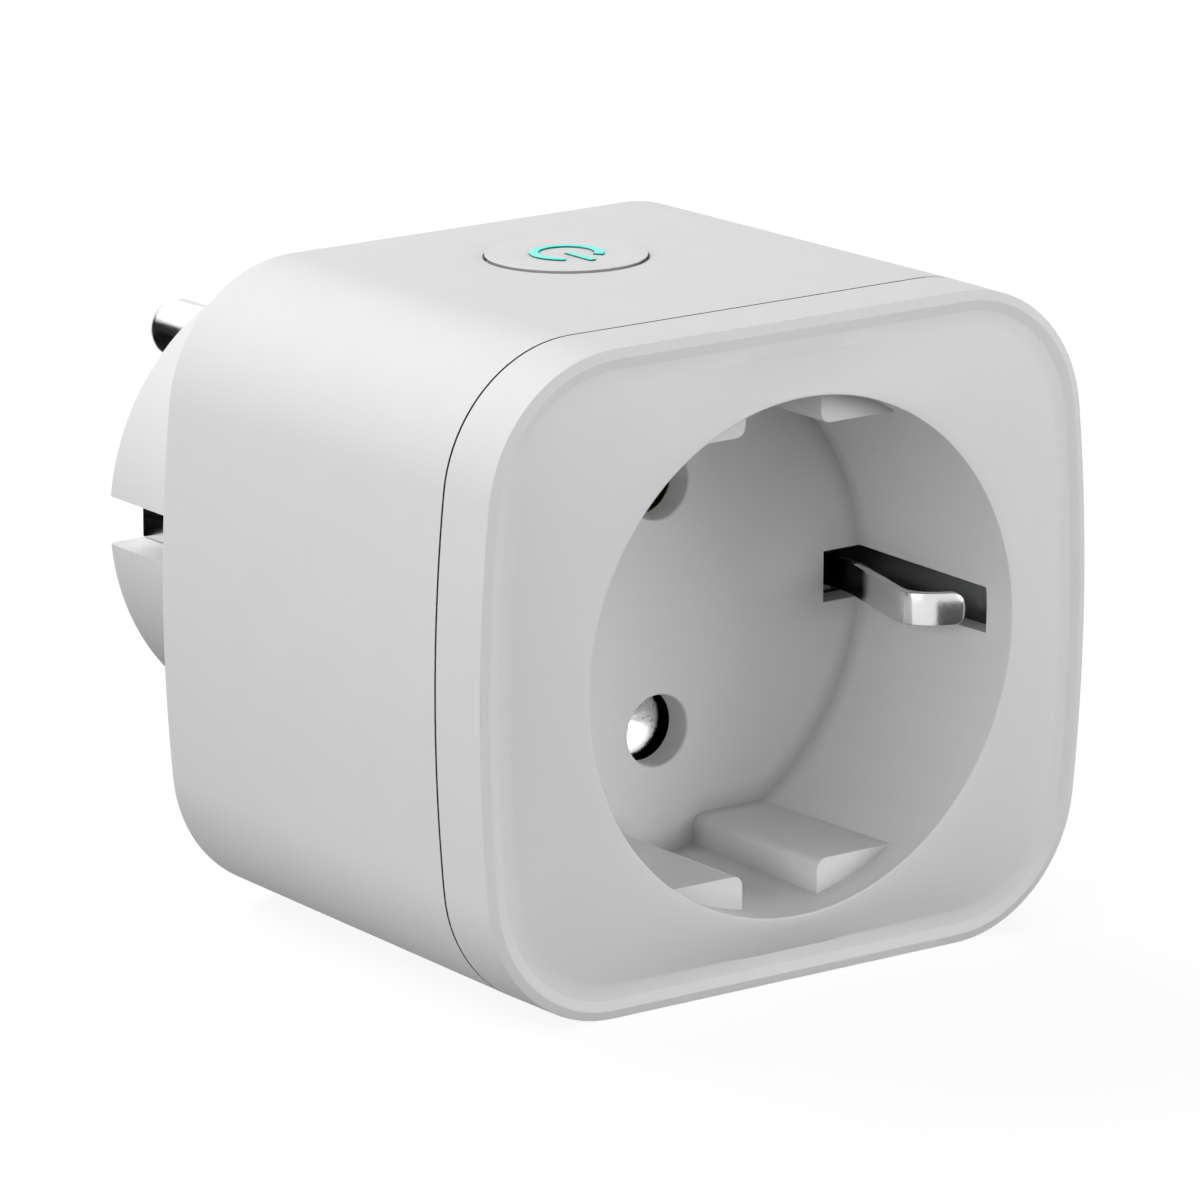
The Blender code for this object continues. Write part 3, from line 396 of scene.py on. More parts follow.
def tilt_to_top(bm):
    """Lean what sits on the case's top so that it lies along the drafted surface."""
    pivot = Vector((0, BUTTON_Y, CASE_TOP_Z))
    turn = Matrix.Translation(pivot) @ Matrix.Rotation(TOP_SLOPE, 4, "X") @ Matrix.Translation(-pivot)
    bmesh.ops.transform(bm, matrix=turn, verts=bm.verts)


def dress(piece, finish, body, slot, *replaced):
    """Shade a piece smooth with crisp edges, give it its finish and set it in the place of CAD nodes."""
    mesh = piece.data
    mesh.materials.clear()
    mesh.materials.append(finish)
    mesh.shade_smooth()
    mesh.set_sharp_from_angle(angle=SHARP)
    even = piece.modifiers.new("even normals", "WEIGHTED_NORMAL")
    even.keep_sharp = True
    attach(piece, body)
    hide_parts(*replaced)
    return piece


def second_finish(piece, finish, chosen):
    """Give some faces another finish; chosen tells from a face's middle and normal which they are."""
    piece.data.materials.append(finish)
    for face in piece.data.polygons:
        if chosen(face.center, face.normal):
            face.material_index = len(piece.data.materials) - 1


def from_axis(middle, normal):
    """A face's distance from the well's axis, and the share of its normal that points away from it."""
    radius = math.hypot(middle.x, middle.z)
    return radius, (normal.x * middle.x + normal.z * middle.z) / radius


# Finishes

POLYCARBONATE_IOR = 1.58
NOISE_RANGE = {"From Min": 0.3, "From Max": 0.7}  # where most of a noise pattern's values lie
LINES_ALONG_Y = (1.0, 0.1, 1.0)
LINES_ALONG_X = (0.2, 1.0, 1.0)
NO_LINES = (1.0, 1.0, 1.0)


def linear(colour):
    """An sRGB hex colour as linear light."""
    parts = [int(colour[i : i + 2], 16) / 255 for i in (1, 3, 5)]
    return (*[c / 12.92 if c <= 0.04045 else ((c + 0.055) / 1.055) ** 2.4 for c in parts], 1.0)


def node(tree, kind, inputs=None, **settings):
    """Add a node with its settings; an input takes a value, or a link from another node's socket."""
    made = tree.nodes.new("ShaderNode" + kind)
    for name, value in settings.items():
        setattr(made, name, value)
    for name, value in (inputs or {}).items():
        if isinstance(value, bpy.types.NodeSocket):
            tree.links.new(value, made.inputs[name])
        else:
            made.inputs[name].default_value = value
    return made


def start_finish(name):
    """An empty material and its node tree, with one coordinate node in metres on the object."""
    made = bpy.data.materials.new(name)
    made.use_nodes = True
    tree = made.node_tree
    tree.nodes.clear()
    return made, tree, node(tree, "TexCoord").outputs["Object"]


def end_finish(tree, shader):
    """Send a shader to the material's surface."""
    node(tree, "OutputMaterial", {"Surface": shader.outputs[0]})


def moulded_polycarbonate(name, colour, flow_colour):
    """Polycarbonate from a spark-eroded tool: satin, with a fine even grain that breaks up its gloss.

    Inside corners are painted a little darker: painted shade, wherever little of the surroundings is open.
    """
    made, tree, place = start_finish(name)
    grain_size = 0.35 * MM  # the real grain is about 0.05 mm, too fine for the picture
    flow_size = 5.0 * MM
    corner_size = 1.6 * MM
    grain = node(tree, "TexNoise", {"Vector": place, "Scale": 1 / grain_size, "Detail": 3.0})
    flow = node(tree, "TexNoise", {"Vector": place, "Scale": 1 / flow_size, "Detail": 2.0})
    gloss = node(tree, "MapRange", {"Value": grain.outputs[0], **NOISE_RANGE, "To Min": 0.58, "To Max": 0.68})
    streaks = {"Fac": flow.outputs[0], "Color1": linear(colour), "Color2": linear(flow_colour)}
    tone = node(tree, "MixRGB", streaks)
    # Painted shade: the colour is darkened where little of the surroundings is open, as in inside corners
    open_share = node(tree, "AmbientOcclusion", {"Distance": corner_size}, samples=2, only_local=True)
    corners = {"From Min": 0.45, "From Max": 0.8, "To Min": 0.72, "To Max": 1.0}
    corner_shade = node(tree, "MapRange", {"Value": open_share.outputs["AO"], **corners})
    mixed = {"Fac": 1.0, "Color1": tone.outputs[0], "Color2": corner_shade.outputs[0]}
    corner_shaded = node(tree, "MixRGB", mixed, blend_type="MULTIPLY")
    bump = node(tree, "Bump", {"Height": grain.outputs[0], "Strength": 0.12, "Distance": 0.01 * MM})
    surface = {"Base Color": corner_shaded.outputs[0], "Roughness": gloss.outputs[0], "Normal": bump.outputs[0]}
    end_finish(tree, node(tree, "BsdfPrincipled", {**surface, "IOR": POLYCARBONATE_IOR}))
    return made


def lit_light_guide():
    """Clear polycarbonate moulded over the lamp: an even turquoise glow, faintly clouded."""
    made, tree, place = start_finish("lit clear polycarbonate")
    cloud_size = 1.6 * MM
    cloud = node(tree, "TexNoise", {"Vector": place, "Scale": 1 / cloud_size, "Detail": 1.0})
    clouded = {"Fac": cloud.outputs[0], "Color1": linear("#00c9b4"), "Color2": linear("#22d5bf")}
    glow = node(tree, "MixRGB", clouded)
    surface = {"Base Color": linear("#1f8f8c"), "Roughness": 0.25, "IOR": POLYCARBONATE_IOR}
    light = {"Emission Color": glow.outputs[0], "Emission Strength": 0.8}
    end_finish(tree, node(tree, "BsdfPrincipled", {**surface, **light}))
    return made


def plated_metal(name, colour, roughness, grain_size, stretch, painted_shade=None):
    """Bright metal with faint lines along one axis, left by rolling or turning.

    Real lines are about 0.02 mm apart, so grain_size is coarser than that for them to show. A painted shade
    is a second colour and two places along Y: it holds past the first and is gone at the second.
    """
    made, tree, place = start_finish(name)
    along = node(tree, "Mapping", {"Vector": place, "Scale": stretch})
    lines = node(tree, "TexNoise", {"Vector": along.outputs[0], "Scale": 1 / grain_size, "Detail": 1.0})
    spread = {"To Min": roughness * 0.8, "To Max": roughness * 1.3}
    gloss = node(tree, "MapRange", {"Value": lines.outputs[0], **NOISE_RANGE, **spread})
    bump = node(tree, "Bump", {"Height": lines.outputs[0], "Strength": 0.02, "Distance": 0.002 * MM})
    tone = linear(colour)
    # Painted shade: a second colour mixed in along Y
    if painted_shade:
        shade_colour, full, gone = painted_shade
        along_y = node(tree, "SeparateXYZ", {0: place}).outputs["Y"]
        fade = {"From Min": gone, "From Max": full, "To Min": 0.0, "To Max": 1.0}
        share = node(tree, "MapRange", {"Value": along_y, **fade}).outputs[0]
        tone = node(tree, "MixRGB", {"Fac": share, "Color1": tone, "Color2": linear(shade_colour)}).outputs[0]
    surface = {"Base Color": tone, "Roughness": gloss.outputs[0], "Normal": bump.outputs[0]}
    end_finish(tree, node(tree, "BsdfPrincipled", {**surface, "Metallic": 1.0}))
    return made


def grained(name, colour, fleck, grain_size, roughness, ior=1.5):
    """A surface flecked at the size of its grain, which varies its gloss and stands up a little.

    Where the real grain is too fine for the picture, grain_size is coarser, as far as it needs to show.
    """
    made, tree, place = start_finish(name)
    grain = node(tree, "TexNoise", {"Vector": place, "Scale": 1 / grain_size, "Detail": 3.0})
    tone = node(tree, "MixRGB", {"Fac": grain.outputs[0], "Color1": linear(colour), "Color2": linear(fleck)})
    spread = {"To Min": roughness * 0.85, "To Max": roughness * 1.15}
    gloss = node(tree, "MapRange", {"Value": grain.outputs[0], **NOISE_RANGE, **spread})
    bump = node(tree, "Bump", {"Height": grain.outputs[0], "Strength": 0.15, "Distance": grain_size / 20})
    surface = {"Base Color": tone.outputs[0], "Roughness": gloss.outputs[0], "Normal": bump.outputs[0]}
    end_finish(tree, node(tree, "BsdfPrincipled", {**surface, "IOR": ior}))
    return made


def finish_inner_nodes(steel):
    """Finishes of the electronics and the earth strap, which keep their CAD shapes inside the case."""
    # Solder mask printed over woven glass: deep green, with the weave as a faint fleck
    board = grained("printed solder mask", "#1d5533", "#2a6b44", 0.5 * MM, 0.4)
    # Tinned steel pressed to a can: pale, soft gloss
    can = plated_metal("pressed tinned steel", "#c3c4c6", 0.35, 0.4 * MM, LINES_ALONG_X)
    # Polyester moulded with glass fibre: near black, dull, with fibre flecks
    black = grained("moulded glass-filled polyester", "#17181a", "#232427", 0.4 * MM, 0.5, 1.57)
    # Vinyl sleeve shrunk on a can: black and smooth
    sleeve = grained("shrunk vinyl sleeve", "#141517", "#1b1c1f", 1.2 * MM, 0.3, 1.54)
    # Adhesive polyester tape wound round the core: yellow, semi-gloss
    tape = grained("wound polyester tape", "#c6a336", "#d4b44c", 1.5 * MM, 0.3, 1.57)
    # Lacquer dipped on ceramic: blue and glossy, with a slight orange peel
    lacquer = grained("dipped epoxy lacquer", "#1d4f96", "#255aa4", 0.8 * MM, 0.2, 1.55)
    # Clear epoxy cast over phosphor: pale yellow and glossy
    lamp = grained("cast clear epoxy", "#ece6bf", "#f4efd2", 0.5 * MM, 0.15, 1.55)
    dressed = {
        steel: ["earth_bridge"],
        board: ["main_board", "button_board", "wifi_module"],
        can: ["shield_can"],
        black: ["relay", "tact_switch", "switch_plunger"],
        sleeve: ["filter_capacitor"],
        tape: ["transformer", "fuse"],
        lacquer: ["varistor"],
        lamp: ["status_led"],
    }
    for finish, names in dressed.items():
        for name in names:
            materials = nodes[name].data.materials
            materials.clear()
            materials.append(finish)


# Pieces


def at_level(outline, y):
    """An outline as points at one place along Y."""
    return [(x, y, z) for x, z in outline]


def make_rear_shell(finish, dark_shade_paint, pale_shade_paint):
    """The case from the back face to the seam, hollow, with the button's hole and the screws' seats."""
    levels = [(inset, SHELL_FRONT_Y + short) for inset, short in reversed(round_edge(SEAM_EDGE))]
    levels += [(0.0, y) for y in (SEAM_Y + EDGE_LOOP, BACK_Y - BACK_EDGE - EDGE_LOOP)]
    levels += [(inset, BACK_Y - short) for inset, short in round_edge(BACK_EDGE)]
    levels.append((BACK_EDGE * EDGE_HOLD, BACK_Y))
    opening = BOSS_BASE_RADIUS + BOSS_OPENING_GAP

    def fill(bm):
        loops = [at_level(case_outline(*case_size(y), inset), y) for inset, y in levels]
        rim = case_outline(*case_size(BACK_Y), BACK_EDGE)
        for widen, rise in reversed(flare(SEAM_EDGE)):
            loops.append(at_level(on_circle(rim, opening + widen), BACK_Y - SEAM_EDGE + rise))
        inner = BACK_Y - WALL
        loops.append(at_level(on_circle(rim, opening), inner))
        for y in (inner, SHELL_FRONT_Y):
            loops.append(at_level(case_outline(*case_size(y), WALL), y))
        skin(bm, loops, ring=True)

    def button_hole(bm):
        radius = BUTTON_RADIUS + BUTTON_GAP
        profile = [(radius, CASE_TOP_Z - WALL - OVERCUT)]
        profile += [(radius + widen, CASE_TOP_Z - BUTTON_EDGE + rise) for widen, rise in flare(BUTTON_EDGE)]
        profile.append((radius + BUTTON_EDGE, CASE_TOP_Z + OVERCUT))
        turned_z(bm, profile, 0.0, BUTTON_Y)
        tilt_to_top(bm)

    def screw_seats(bm):
        radius = SCREW_HEAD_RADIUS + SCREW_SEAT_GAP
        profile = [(radius, BACK_Y - WALL - OVERCUT)]
        for widen, rise in flare(SCREW_SEAT_EDGE):
            profile.append((radius + widen, BACK_Y - SCREW_SEAT_EDGE + rise))
        profile.append((radius + SCREW_SEAT_EDGE, BACK_Y + OVERCUT))
        for x, z in screw_places():
            turned_y(bm, profile, x, z, ROUND_STEPS // 2)

    shell = solid("case_rear_shell", fill)
    carve(shell, "DIFFERENCE", button_hole)
    carve(shell, "DIFFERENCE", screw_seats)
    dress(shell, finish, "case", "case_white", "rear_shell")

    def hidden(middle, normal):
        """The case's inner walls."""
        _, away = from_axis(middle, normal)
        behind_back = normal.y < -SQUARE_ON and middle.y > BACK_Y - WALL - MARGIN
        return middle.y < BACK_Y - WALL / 2 and (away < -FACING or behind_back)

    def in_seam(middle, normal):
        """The edge that faces the cover across the seam."""
        return normal.y < -SQUARE_ON and middle.y < SHELL_FRONT_Y + MARGIN

    # Painted shade: pale grey on the case's inner walls
    second_finish(shell, pale_shade_paint, hidden)
    # Painted shade: near black on the edge that faces the cover across the seam
    second_finish(shell, dark_shade_paint, in_seam)


def screw_places():
    """Axes of the four case screws, from the frame."""
    places = []
    for number in range(1, 5):
        low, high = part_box(f"case_screw_{number}")
        places.append(((low.x + high.x) / 2, (low.z + high.z) / 2))
    return places


def make_front_cover(finish, dark_shade_paint, pale_shade_paint):
    """The front: lip, rim, groove, pillowed face and the socket well with its ribs, holes and slots."""

    def seam_outline(inset):
        return case_outline(SEAM_WIDTH, SEAM_HEIGHT, inset)

    rim = seam_outline(GROOVE_INSET + GROOVE_WIDTH)

    def relief():
        """Inset from the side and y, from the back edge over the rim to the inner end of the groove."""
        steps = [(inset, COVER_BACK_Y - short) for inset, short in reversed(round_edge(SEAM_EDGE))]
        steps += [(inset, RIM_Y + short) for inset, short in round_edge(RIM_EDGE)[:-1]]
        bands = [(RIM_EDGE, RIM_Y), (RIDGE_INSET, RIDGE_Y), (GROOVE_INSET, GROOVE_Y)]
        bands.append((GROOVE_INSET + GROOVE_WIDTH, GROOVE_Y))
        return steps + eased(bands, BAND_EDGE)

    def pillow():
        """Loops of the crowned face, between the groove and the mouth of the well."""
        loops = []
        mouth = on_circle(rim, WELL_RADIUS + MOUTH_EDGE)
        for i in range(1, RELIEF_STEPS):
            share = i / RELIEF_STEPS
            rise = (GROOVE_Y - FACE_Y) * (1 - (1 - share) ** PILLOW_POWER)
            outline = [(x + (u - x) * share, z + (v - z) * share) for (x, z), (u, v) in zip(rim, mouth)]
            loops.append(at_level(outline, GROOVE_Y - rise))
        return loops

    def fill(bm):
        loops = [at_level(on_circle(rim, WELL_RADIUS / 2), FLOOR_BACK_Y)]
        outer = WELL_RADIUS + WELL_WALL
        face_back = GROOVE_Y + FACE_THICKNESS
        loops += [at_level(on_circle(rim, outer), y) for y in (FLOOR_BACK_Y, face_back)]
        lip = WALL + LIP_GAP
        inner = lip + LIP_THICKNESS
        levels = [(inner, face_back), (inner, LIP_Y), (lip, LIP_Y), (lip, COVER_BACK_Y)]
        loops += [at_level(seam_outline(inset), y) for inset, y in levels + relief()]
        loops += pillow()
        for widen, rise in reversed(flare(MOUTH_EDGE)):
            loops.append(at_level(on_circle(rim, WELL_RADIUS + widen), FACE_Y + MOUTH_EDGE - rise))
        floor_radius = WELL_RADIUS - WELL_DRAFT
        for inset, short in round_edge(FLOOR_EDGE):
            loops.append(at_level(on_circle(rim, floor_radius - inset), FLOOR_Y - short))
        for inset in (EDGE_LOOP, WELL_RADIUS / 2):
            loops.append(at_level(on_circle(rim, floor_radius - inset), FLOOR_Y))
        skin(bm, loops)

    def rib_outline(inset):
        """One rib's section in the upper right, with a round inner corner, drawn in by inset."""
        outer, flat, side = WELL_RADIUS + WELL_WALL / 2, RIB_FLAT + inset, RIB_SIDE + inset
        outline = arc(outer, math.asin(flat / outer), math.acos(side / outer), RELIEF_STEPS)
        middle = (RIB_SIDE + RIB_CORNER, RIB_FLAT + RIB_CORNER)
        return outline + arc(RIB_CORNER - inset, math.pi, 1.5 * math.pi, EDGE_STEPS, *middle)

    def ribs(bm):
        end_y = FLOOR_Y - RIB_LENGTH
        levels = [(0.0, FLOOR_Y + BURY)]
        levels += [(inset, end_y + short) for inset, short in round_edge(RIB_END_EDGE)]
        for sx, sz in CORNERS:
            skin(bm, [[(sx * x, y, sz * z) for x, z in rib_outline(inset)] for inset, y in levels])

    def pin_holes(bm):
        profile = [(PIN_HOLE_RADIUS, FLOOR_BACK_Y + OVERCUT)]
        for widen, rise in flare(PIN_HOLE_EDGE):
            profile.append((PIN_HOLE_RADIUS + widen, FLOOR_Y + PIN_HOLE_EDGE - rise))
        profile.append((PIN_HOLE_RADIUS + PIN_HOLE_EDGE, FLOOR_Y - OVERCUT))
        for z in (-PIN_Z, PIN_Z):
            turned_y(bm, profile, 0.0, z)

    def earth_slots(bm):
        half = [(FLOOR_Y - SLOT_LENGTH, SLOT_FRONT_WIDTH / 2)]
        half += [(y, SLOT_WIDTH / 2) for y in (FLOOR_Y, FLOOR_BACK_Y + OVERCUT)]
        outline = half + [(y, -z) for y, z in reversed(half)]
        reach = (WELL_RADIUS - SLOT_REACH, WELL_RADIUS + WELL_WALL + SLOT_PAST)
        for _, side in SIDES:
            skin(bm, [[(side * x, y, z) for y, z in outline] for x in reach])

    cover = solid("socket_front_cover", fill)
    carve(cover, "UNION", ribs)
    carve(cover, "DIFFERENCE", pin_holes)
    carve(cover, "DIFFERENCE", earth_slots)
    dress(cover, finish, "case", "case_white", "front_cover")

    def behind(middle, normal):
        """The outside of the well, and all that faces the rear."""
        radius, away = from_axis(middle, normal)
        round_well = away > FACING and WELL_RADIUS < radius < WELL_RADIUS + WELL_WALL + MARGIN
        return middle.y > GROOVE_Y + MARGIN and (round_well or normal.y > SQUARE_ON)

    def in_lip(middle, normal):
        """The inside of the lip."""
        radius, away = from_axis(middle, normal)
        outside_well = radius > WELL_RADIUS + WELL_WALL + MARGIN
        return middle.y > GROOVE_Y + MARGIN and away < -FACING and outside_well

    # Painted shade: near black on the well's outside and on the faces towards the rear
    second_finish(cover, dark_shade_paint, behind)
    # Painted shade: pale grey on the lip's inside
    second_finish(cover, pale_shade_paint, in_lip)


def make_plug_base(finish):
    """The boss that carries the pins, with a rounded rear edge and a notch on each side."""

    def cup(bm):
        profile = [
            (BOSS_BORE, -BOSS_END),
            (BOSS_BORE, FLANGE_Y),
            (FLANGE_RADIUS, FLANGE_Y),
            (FLANGE_RADIUS, FLANGE_BACK_Y),
            (BOSS_BASE_RADIUS, FLANGE_BACK_Y),
            (BOSS_BASE_RADIUS, BACK_Y),
        ]
        profile += [(BOSS_RADIUS - inset, -short) for inset, short in round_edge(BOSS_EDGE)]
        profile.append((BOSS_RADIUS - EDGE_HOLD * BOSS_EDGE, 0.0))
        turned_y(bm, profile, steps=2 * ROUND_STEPS)

    def channels(bm):
        half = NOTCH_WIDTH / 2 + CHANNEL_WALL
        for _, side in SIDES:
            x = sorted((side * (NOTCH_FLOOR - CHANNEL_WALL), side * (BOSS_BORE + BURY)))
            block(bm, x, (FLANGE_Y, BURY - BOSS_END), (-half, half))

    def notches(bm):
        reach = BOSS_RADIUS + OVERCUT - NOTCH_FLOOR
        outline = round_rectangle(reach, NOTCH_WIDTH / 2, NOTCH_CORNER)
        for _, side in SIDES:
            middle = side * (NOTCH_FLOOR + reach)
            skin(bm, [[(middle + u, y, v) for u, v in outline] for y in (-NOTCH_LENGTH, OVERCUT)])

    def pin_seats(bm):
        radius = PIN_RADIUS + PIN_SEAT_GAP
        profile = [(radius, -BOSS_END - OVERCUT)]
        profile += [(radius + widen, rise - PIN_SEAT_EDGE) for widen, rise in flare(PIN_SEAT_EDGE)]
        profile.append((radius + PIN_SEAT_EDGE, OVERCUT))
        for z in (-PIN_Z, PIN_Z):
            turned_y(bm, profile, 0.0, z)

    base = solid("plug_boss", cup)
    carve(base, "UNION", channels)
    carve(base, "DIFFERENCE", notches)
    carve(base, "DIFFERENCE", pin_seats)
    dress(base, finish, "case", "case_white", "plug_base")


def make_pins(finish):
    """Round plug pins with a full round tip."""
    profile = [(PIN_RADIUS, -BOSS_END)]
    for inset, short in round_edge(PIN_TIP, 2 * EDGE_STEPS):
        profile.append((PIN_RADIUS - inset, pin_high.y - short))
    for name, z in (("upper", PIN_Z), ("lower", -PIN_Z)):
        pin = solid(f"plug_pin_{name}", lambda bm: turned_y(bm, profile, 0.0, z, ROUND_STEPS // 2))
        dress(pin, finish, "case", "nickel_brass", f"{name}_pin")


def strip_section(half_thickness, half_width, edge):
    """The round-edged section of a rolled strip."""
    return round_rectangle(half_thickness, half_width, min(edge, half_width / 2))


def end_taper(length, end, width):
    """Half width of a strip with round end corners, at a distance from its end."""
    if length >= end:
        return width / 2
    return width / 2 - end + math.sqrt(end**2 - (end - length) ** 2)


def make_earth_strips(finish):
    """The strips in the boss's notches, with round corners at the rear end."""
    half = (strip_high.x - strip_low.x) / 2
    width = NOTCH_WIDTH - 2 * STRIP_GAP
    for side_name, side in SIDES:
        middle = side * (strip_low.x + strip_high.x) / 2
        ends = [STRIP_END * (1 - math.cos(math.pi / 2 * i / EDGE_STEPS)) for i in range(EDGE_STEPS + 1)]
        places = [strip_high.y - length for length in ends] + [strip_low.y]

        def fill(bm):
            loops = []
            for y in places:
                wide = end_taper(strip_high.y - y, STRIP_END, width)
                loops.append([(middle + u, y, v) for u, v in strip_section(half, wide, STRIP_EDGE)])
            skin(bm, loops)

        strip = solid(f"notch_earth_strip_{side_name}", fill)
        dress(strip, finish, "case", "spring_steel", f"plug_earth_contact_{side_name}")


def make_earth_clips(finish, root_shade_finish):
    """The sprung clips of the well: rolled strip, bowed to a crest and rounded at its free end."""
    root_x, axis_y = WELL_RADIUS - CLIP_ROOT, FLOOR_Y - CLIP_AXIS
    width = clip_high.z - clip_low.z
    points = [(root_x, clip_high.y), (root_x, axis_y)]
    points += [(root_x - inward, axis_y - ahead) for inward, ahead in CLIP_PATH]
    path = smooth_path(points, 3 * EDGE_STEPS)
    lengths = [0.0]
    for p, q in zip(path, path[1:]):
        lengths.append(lengths[-1] + math.dist(p, q))
    for side_name, side in SIDES:

        def fill(bm):
            loops = []
            for i, (x, y) in enumerate(path):
                before, after = path[max(i - 1, 0)], path[min(i + 1, len(path) - 1)]
                along = math.dist(before, after)
                nx, ny = -(after[1] - before[1]) / along, (after[0] - before[0]) / along
                wide = end_taper(lengths[-1] - lengths[i], CLIP_END, width)
                section = strip_section(CLIP_THICKNESS / 2, wide, CLIP_EDGE)
                loops.append([(side * (x + nx * u), y + ny * u, v) for u, v in section])
            skin(bm, loops)

        clip = solid(f"socket_earth_clip_{side_name}", fill)
        dress(clip, finish, f"clip_{side_name}", "spring_steel", f"earth_clip_{side_name}")

        def near_root(middle, normal):
            """The length painted near black as shade, with the fade at its end."""
            length = CLIP_SHADE + 2 * CLIP_SHADE_FADE if normal.z < FACING else CLIP_SHADE_EDGE
            return middle.y > axis_y - length

        # Painted shade: the root gets a finish that fades to near black
        second_finish(clip, root_shade_finish, near_root)


def make_contact_sleeves(finish):
    """Slit sleeves behind the pin holes: a dished mouth leads the pin to a neck that springs open for it."""
    front, rear = sleeve_low.y, sleeve_high.y
    neck, grip = front + SLEEVE_FUNNEL, front + SLEEVE_FUNNEL + SLEEVE_GRIP
    inside = [(SLEEVE_MOUTH, front), (SLEEVE_NECK, neck), (SLEEVE_NECK, grip), (SLEEVE_MOUTH, rear)]
    profile = inside + [(r + SLEEVE_THICKNESS, y) for r, y in reversed(inside)]
    start = SLEEVE_SLIT_TURN + SLEEVE_SLIT / 2
    end = SLEEVE_SLIT_TURN + 2 * math.pi - SLEEVE_SLIT / 2
    turns = [start + (end - start) * i / ROUND_STEPS for i in range(ROUND_STEPS + 1)]
    for name, z in (("upper", PIN_Z), ("lower", -PIN_Z)):

        def fill(bm):
            skin(bm, [[(r * math.cos(t), y, z + r * math.sin(t)) for r, y in profile] for t in turns])

        sleeve = solid(f"socket_contact_{name}", fill)
        dress(sleeve, finish, "case", "nickel_brass", f"{name}_contact_sleeve")


def make_screws(finish):
    """Cross-head screws, sunk a little below the back face."""
    top = BACK_Y - SCREW_SUNK
    under = top - SCREW_HEAD_THICKNESS
    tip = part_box("case_screw_1")[0].y
    profile = [(SCREW_SHANK_RADIUS, tip), (SCREW_SHANK_RADIUS, under), (SCREW_HEAD_RADIUS, under)]
    profile += [(SCREW_HEAD_RADIUS - inset, top - short) for inset, short in round_edge(SCREW_HEAD_EDGE)]
    arm, half = SCREW_CROSS_LENGTH / 2, SCREW_CROSS_WIDTH / 2
    corner = [(arm, -half), (arm, half), (half, half)]
    cross = []
    for _ in range(4):
        cross += corner
        corner = [(-v, u) for u, v in corner]
    levels = ((top - SCREW_CROSS_DEPTH, SCREW_CROSS_TAPER), (top, 1.0), (top + OVERCUT, 1.0))
    for number, (x, z) in enumerate(screw_places(), start=1):
        screw = solid(f"back_screw_{number}", lambda bm: turned_y(bm, profile, x, z, ROUND_STEPS // 2))
        recess = [[(x + u * size, y, z + v * size) for u, v in cross] for y, size in levels]
        carve(screw, "DIFFERENCE", lambda bm: skin(bm, recess))
        dress(screw, finish, "case", "screw_steel", f"case_screw_{number}")


def mark(bm, levels):
    """The open ring and the bar of a power mark; levels give z and how much the strokes are widened."""
    middle = MARK_RADIUS - MARK_STROKE / 2
    rings, bars = [], []
    for z, grow in levels:
        half = MARK_STROKE / 2 + grow
        turn = MARK_OPENING / 2 - grow / middle
        start, end = turn - math.pi / 2, 1.5 * math.pi - turn
        ring = arc(middle + half, start, end, ROUND_STEPS, 0.0, BUTTON_Y)
        ring += arc(middle - half, end, start, ROUND_STEPS, 0.0, BUTTON_Y)
        rings.append([(x, y, z) for x, y in ring])
        back, front = BUTTON_Y + MARK_BAR_BACK + grow, BUTTON_Y - MARK_BAR_FRONT - grow
        wide = MARK_BAR / 2 + grow
        bars.append([(-wide, front, z), (wide, front, z), (wide, back, z), (-wide, back, z)])
    skin(bm, rings)
    skin(bm, bars)


def make_button(cap_finish, neck_shade_finish, lens_finish, side_shade_finish):
    """The push button, undercut below its top, and the lit mark that stands a hair above it."""
    cap_z = CASE_TOP_Z + BUTTON_PROUD
    ceiling = cap_z - BUTTON_TOP
    rim_radius = button_high.x
    rim_z = CASE_TOP_Z - WALL - BUTTON_RIM_DROP
    bore = BUTTON_RADIUS - BUTTON_WALL

    def cap(bm):
        profile = [(bore, ceiling), (bore, button_low.z), (rim_radius, button_low.z), (rim_radius, rim_z)]
        neck_z = CASE_TOP_Z - BUTTON_NECK_DEPTH
        profile += [(BUTTON_RADIUS, rim_z), (BUTTON_RADIUS, neck_z)]
        profile += [(BUTTON_RADIUS - BUTTON_NECK, z) for z in (neck_z, cap_z - BUTTON_DISC)]
        profile.append((BUTTON_RADIUS, cap_z - BUTTON_DISC))
        profile += [(BUTTON_RADIUS - inset, cap_z - short) for inset, short in round_edge(BUTTON_EDGE)]
        profile.append((BUTTON_RADIUS - BUTTON_HOLD * BUTTON_EDGE, cap_z))
        turned_z(bm, profile, 0.0, BUTTON_Y, 2 * ROUND_STEPS)
        tilt_to_top(bm)

    def slots(bm):
        mark(bm, ((ceiling - OVERCUT, MARK_GAP), (cap_z + OVERCUT, MARK_GAP)))
        tilt_to_top(bm)

    def strokes(bm):
        top = cap_z + MARK_PROUD
        mark(bm, ((ceiling - MARK_FOOT, 0.0), (top - MARK_EDGE, 0.0), (top, -MARK_EDGE)))
        tilt_to_top(bm)

    button = solid("push_button", cap)
    carve(button, "DIFFERENCE", slots)
    dress(button, cap_finish, "button", "button_white", "power_button")

    def under_top(middle, normal):
        """The neck of the undercut."""
        inset = BUTTON_RADIUS - math.hypot(middle.x, middle.y - BUTTON_Y)
        return abs(inset - BUTTON_NECK) < BUTTON_NECK / 2 and normal.z < FACING

    # Painted shade: grey on the neck under the top, so that the gap round the button looks dark
    second_finish(button, neck_shade_finish, under_top)
    lens = solid("power_mark", strokes)
    dress(lens, lens_finish, "button", "lens_turquoise", "power_symbol_lens")
    # Painted shade: dark teal on the sides of the mark's strokes
    second_finish(lens, side_shade_finish, lambda middle, normal: normal.z < FACING)


# Studio


def direction(azimuth, elevation=0.0):
    """The way to a place round the plug: degrees to the right of the socket's front, and degrees up."""
    a, e = math.radians(azimuth), math.radians(elevation)
    return Vector((math.sin(a) * math.cos(e), -math.cos(a) * math.cos(e), math.sin(e)))


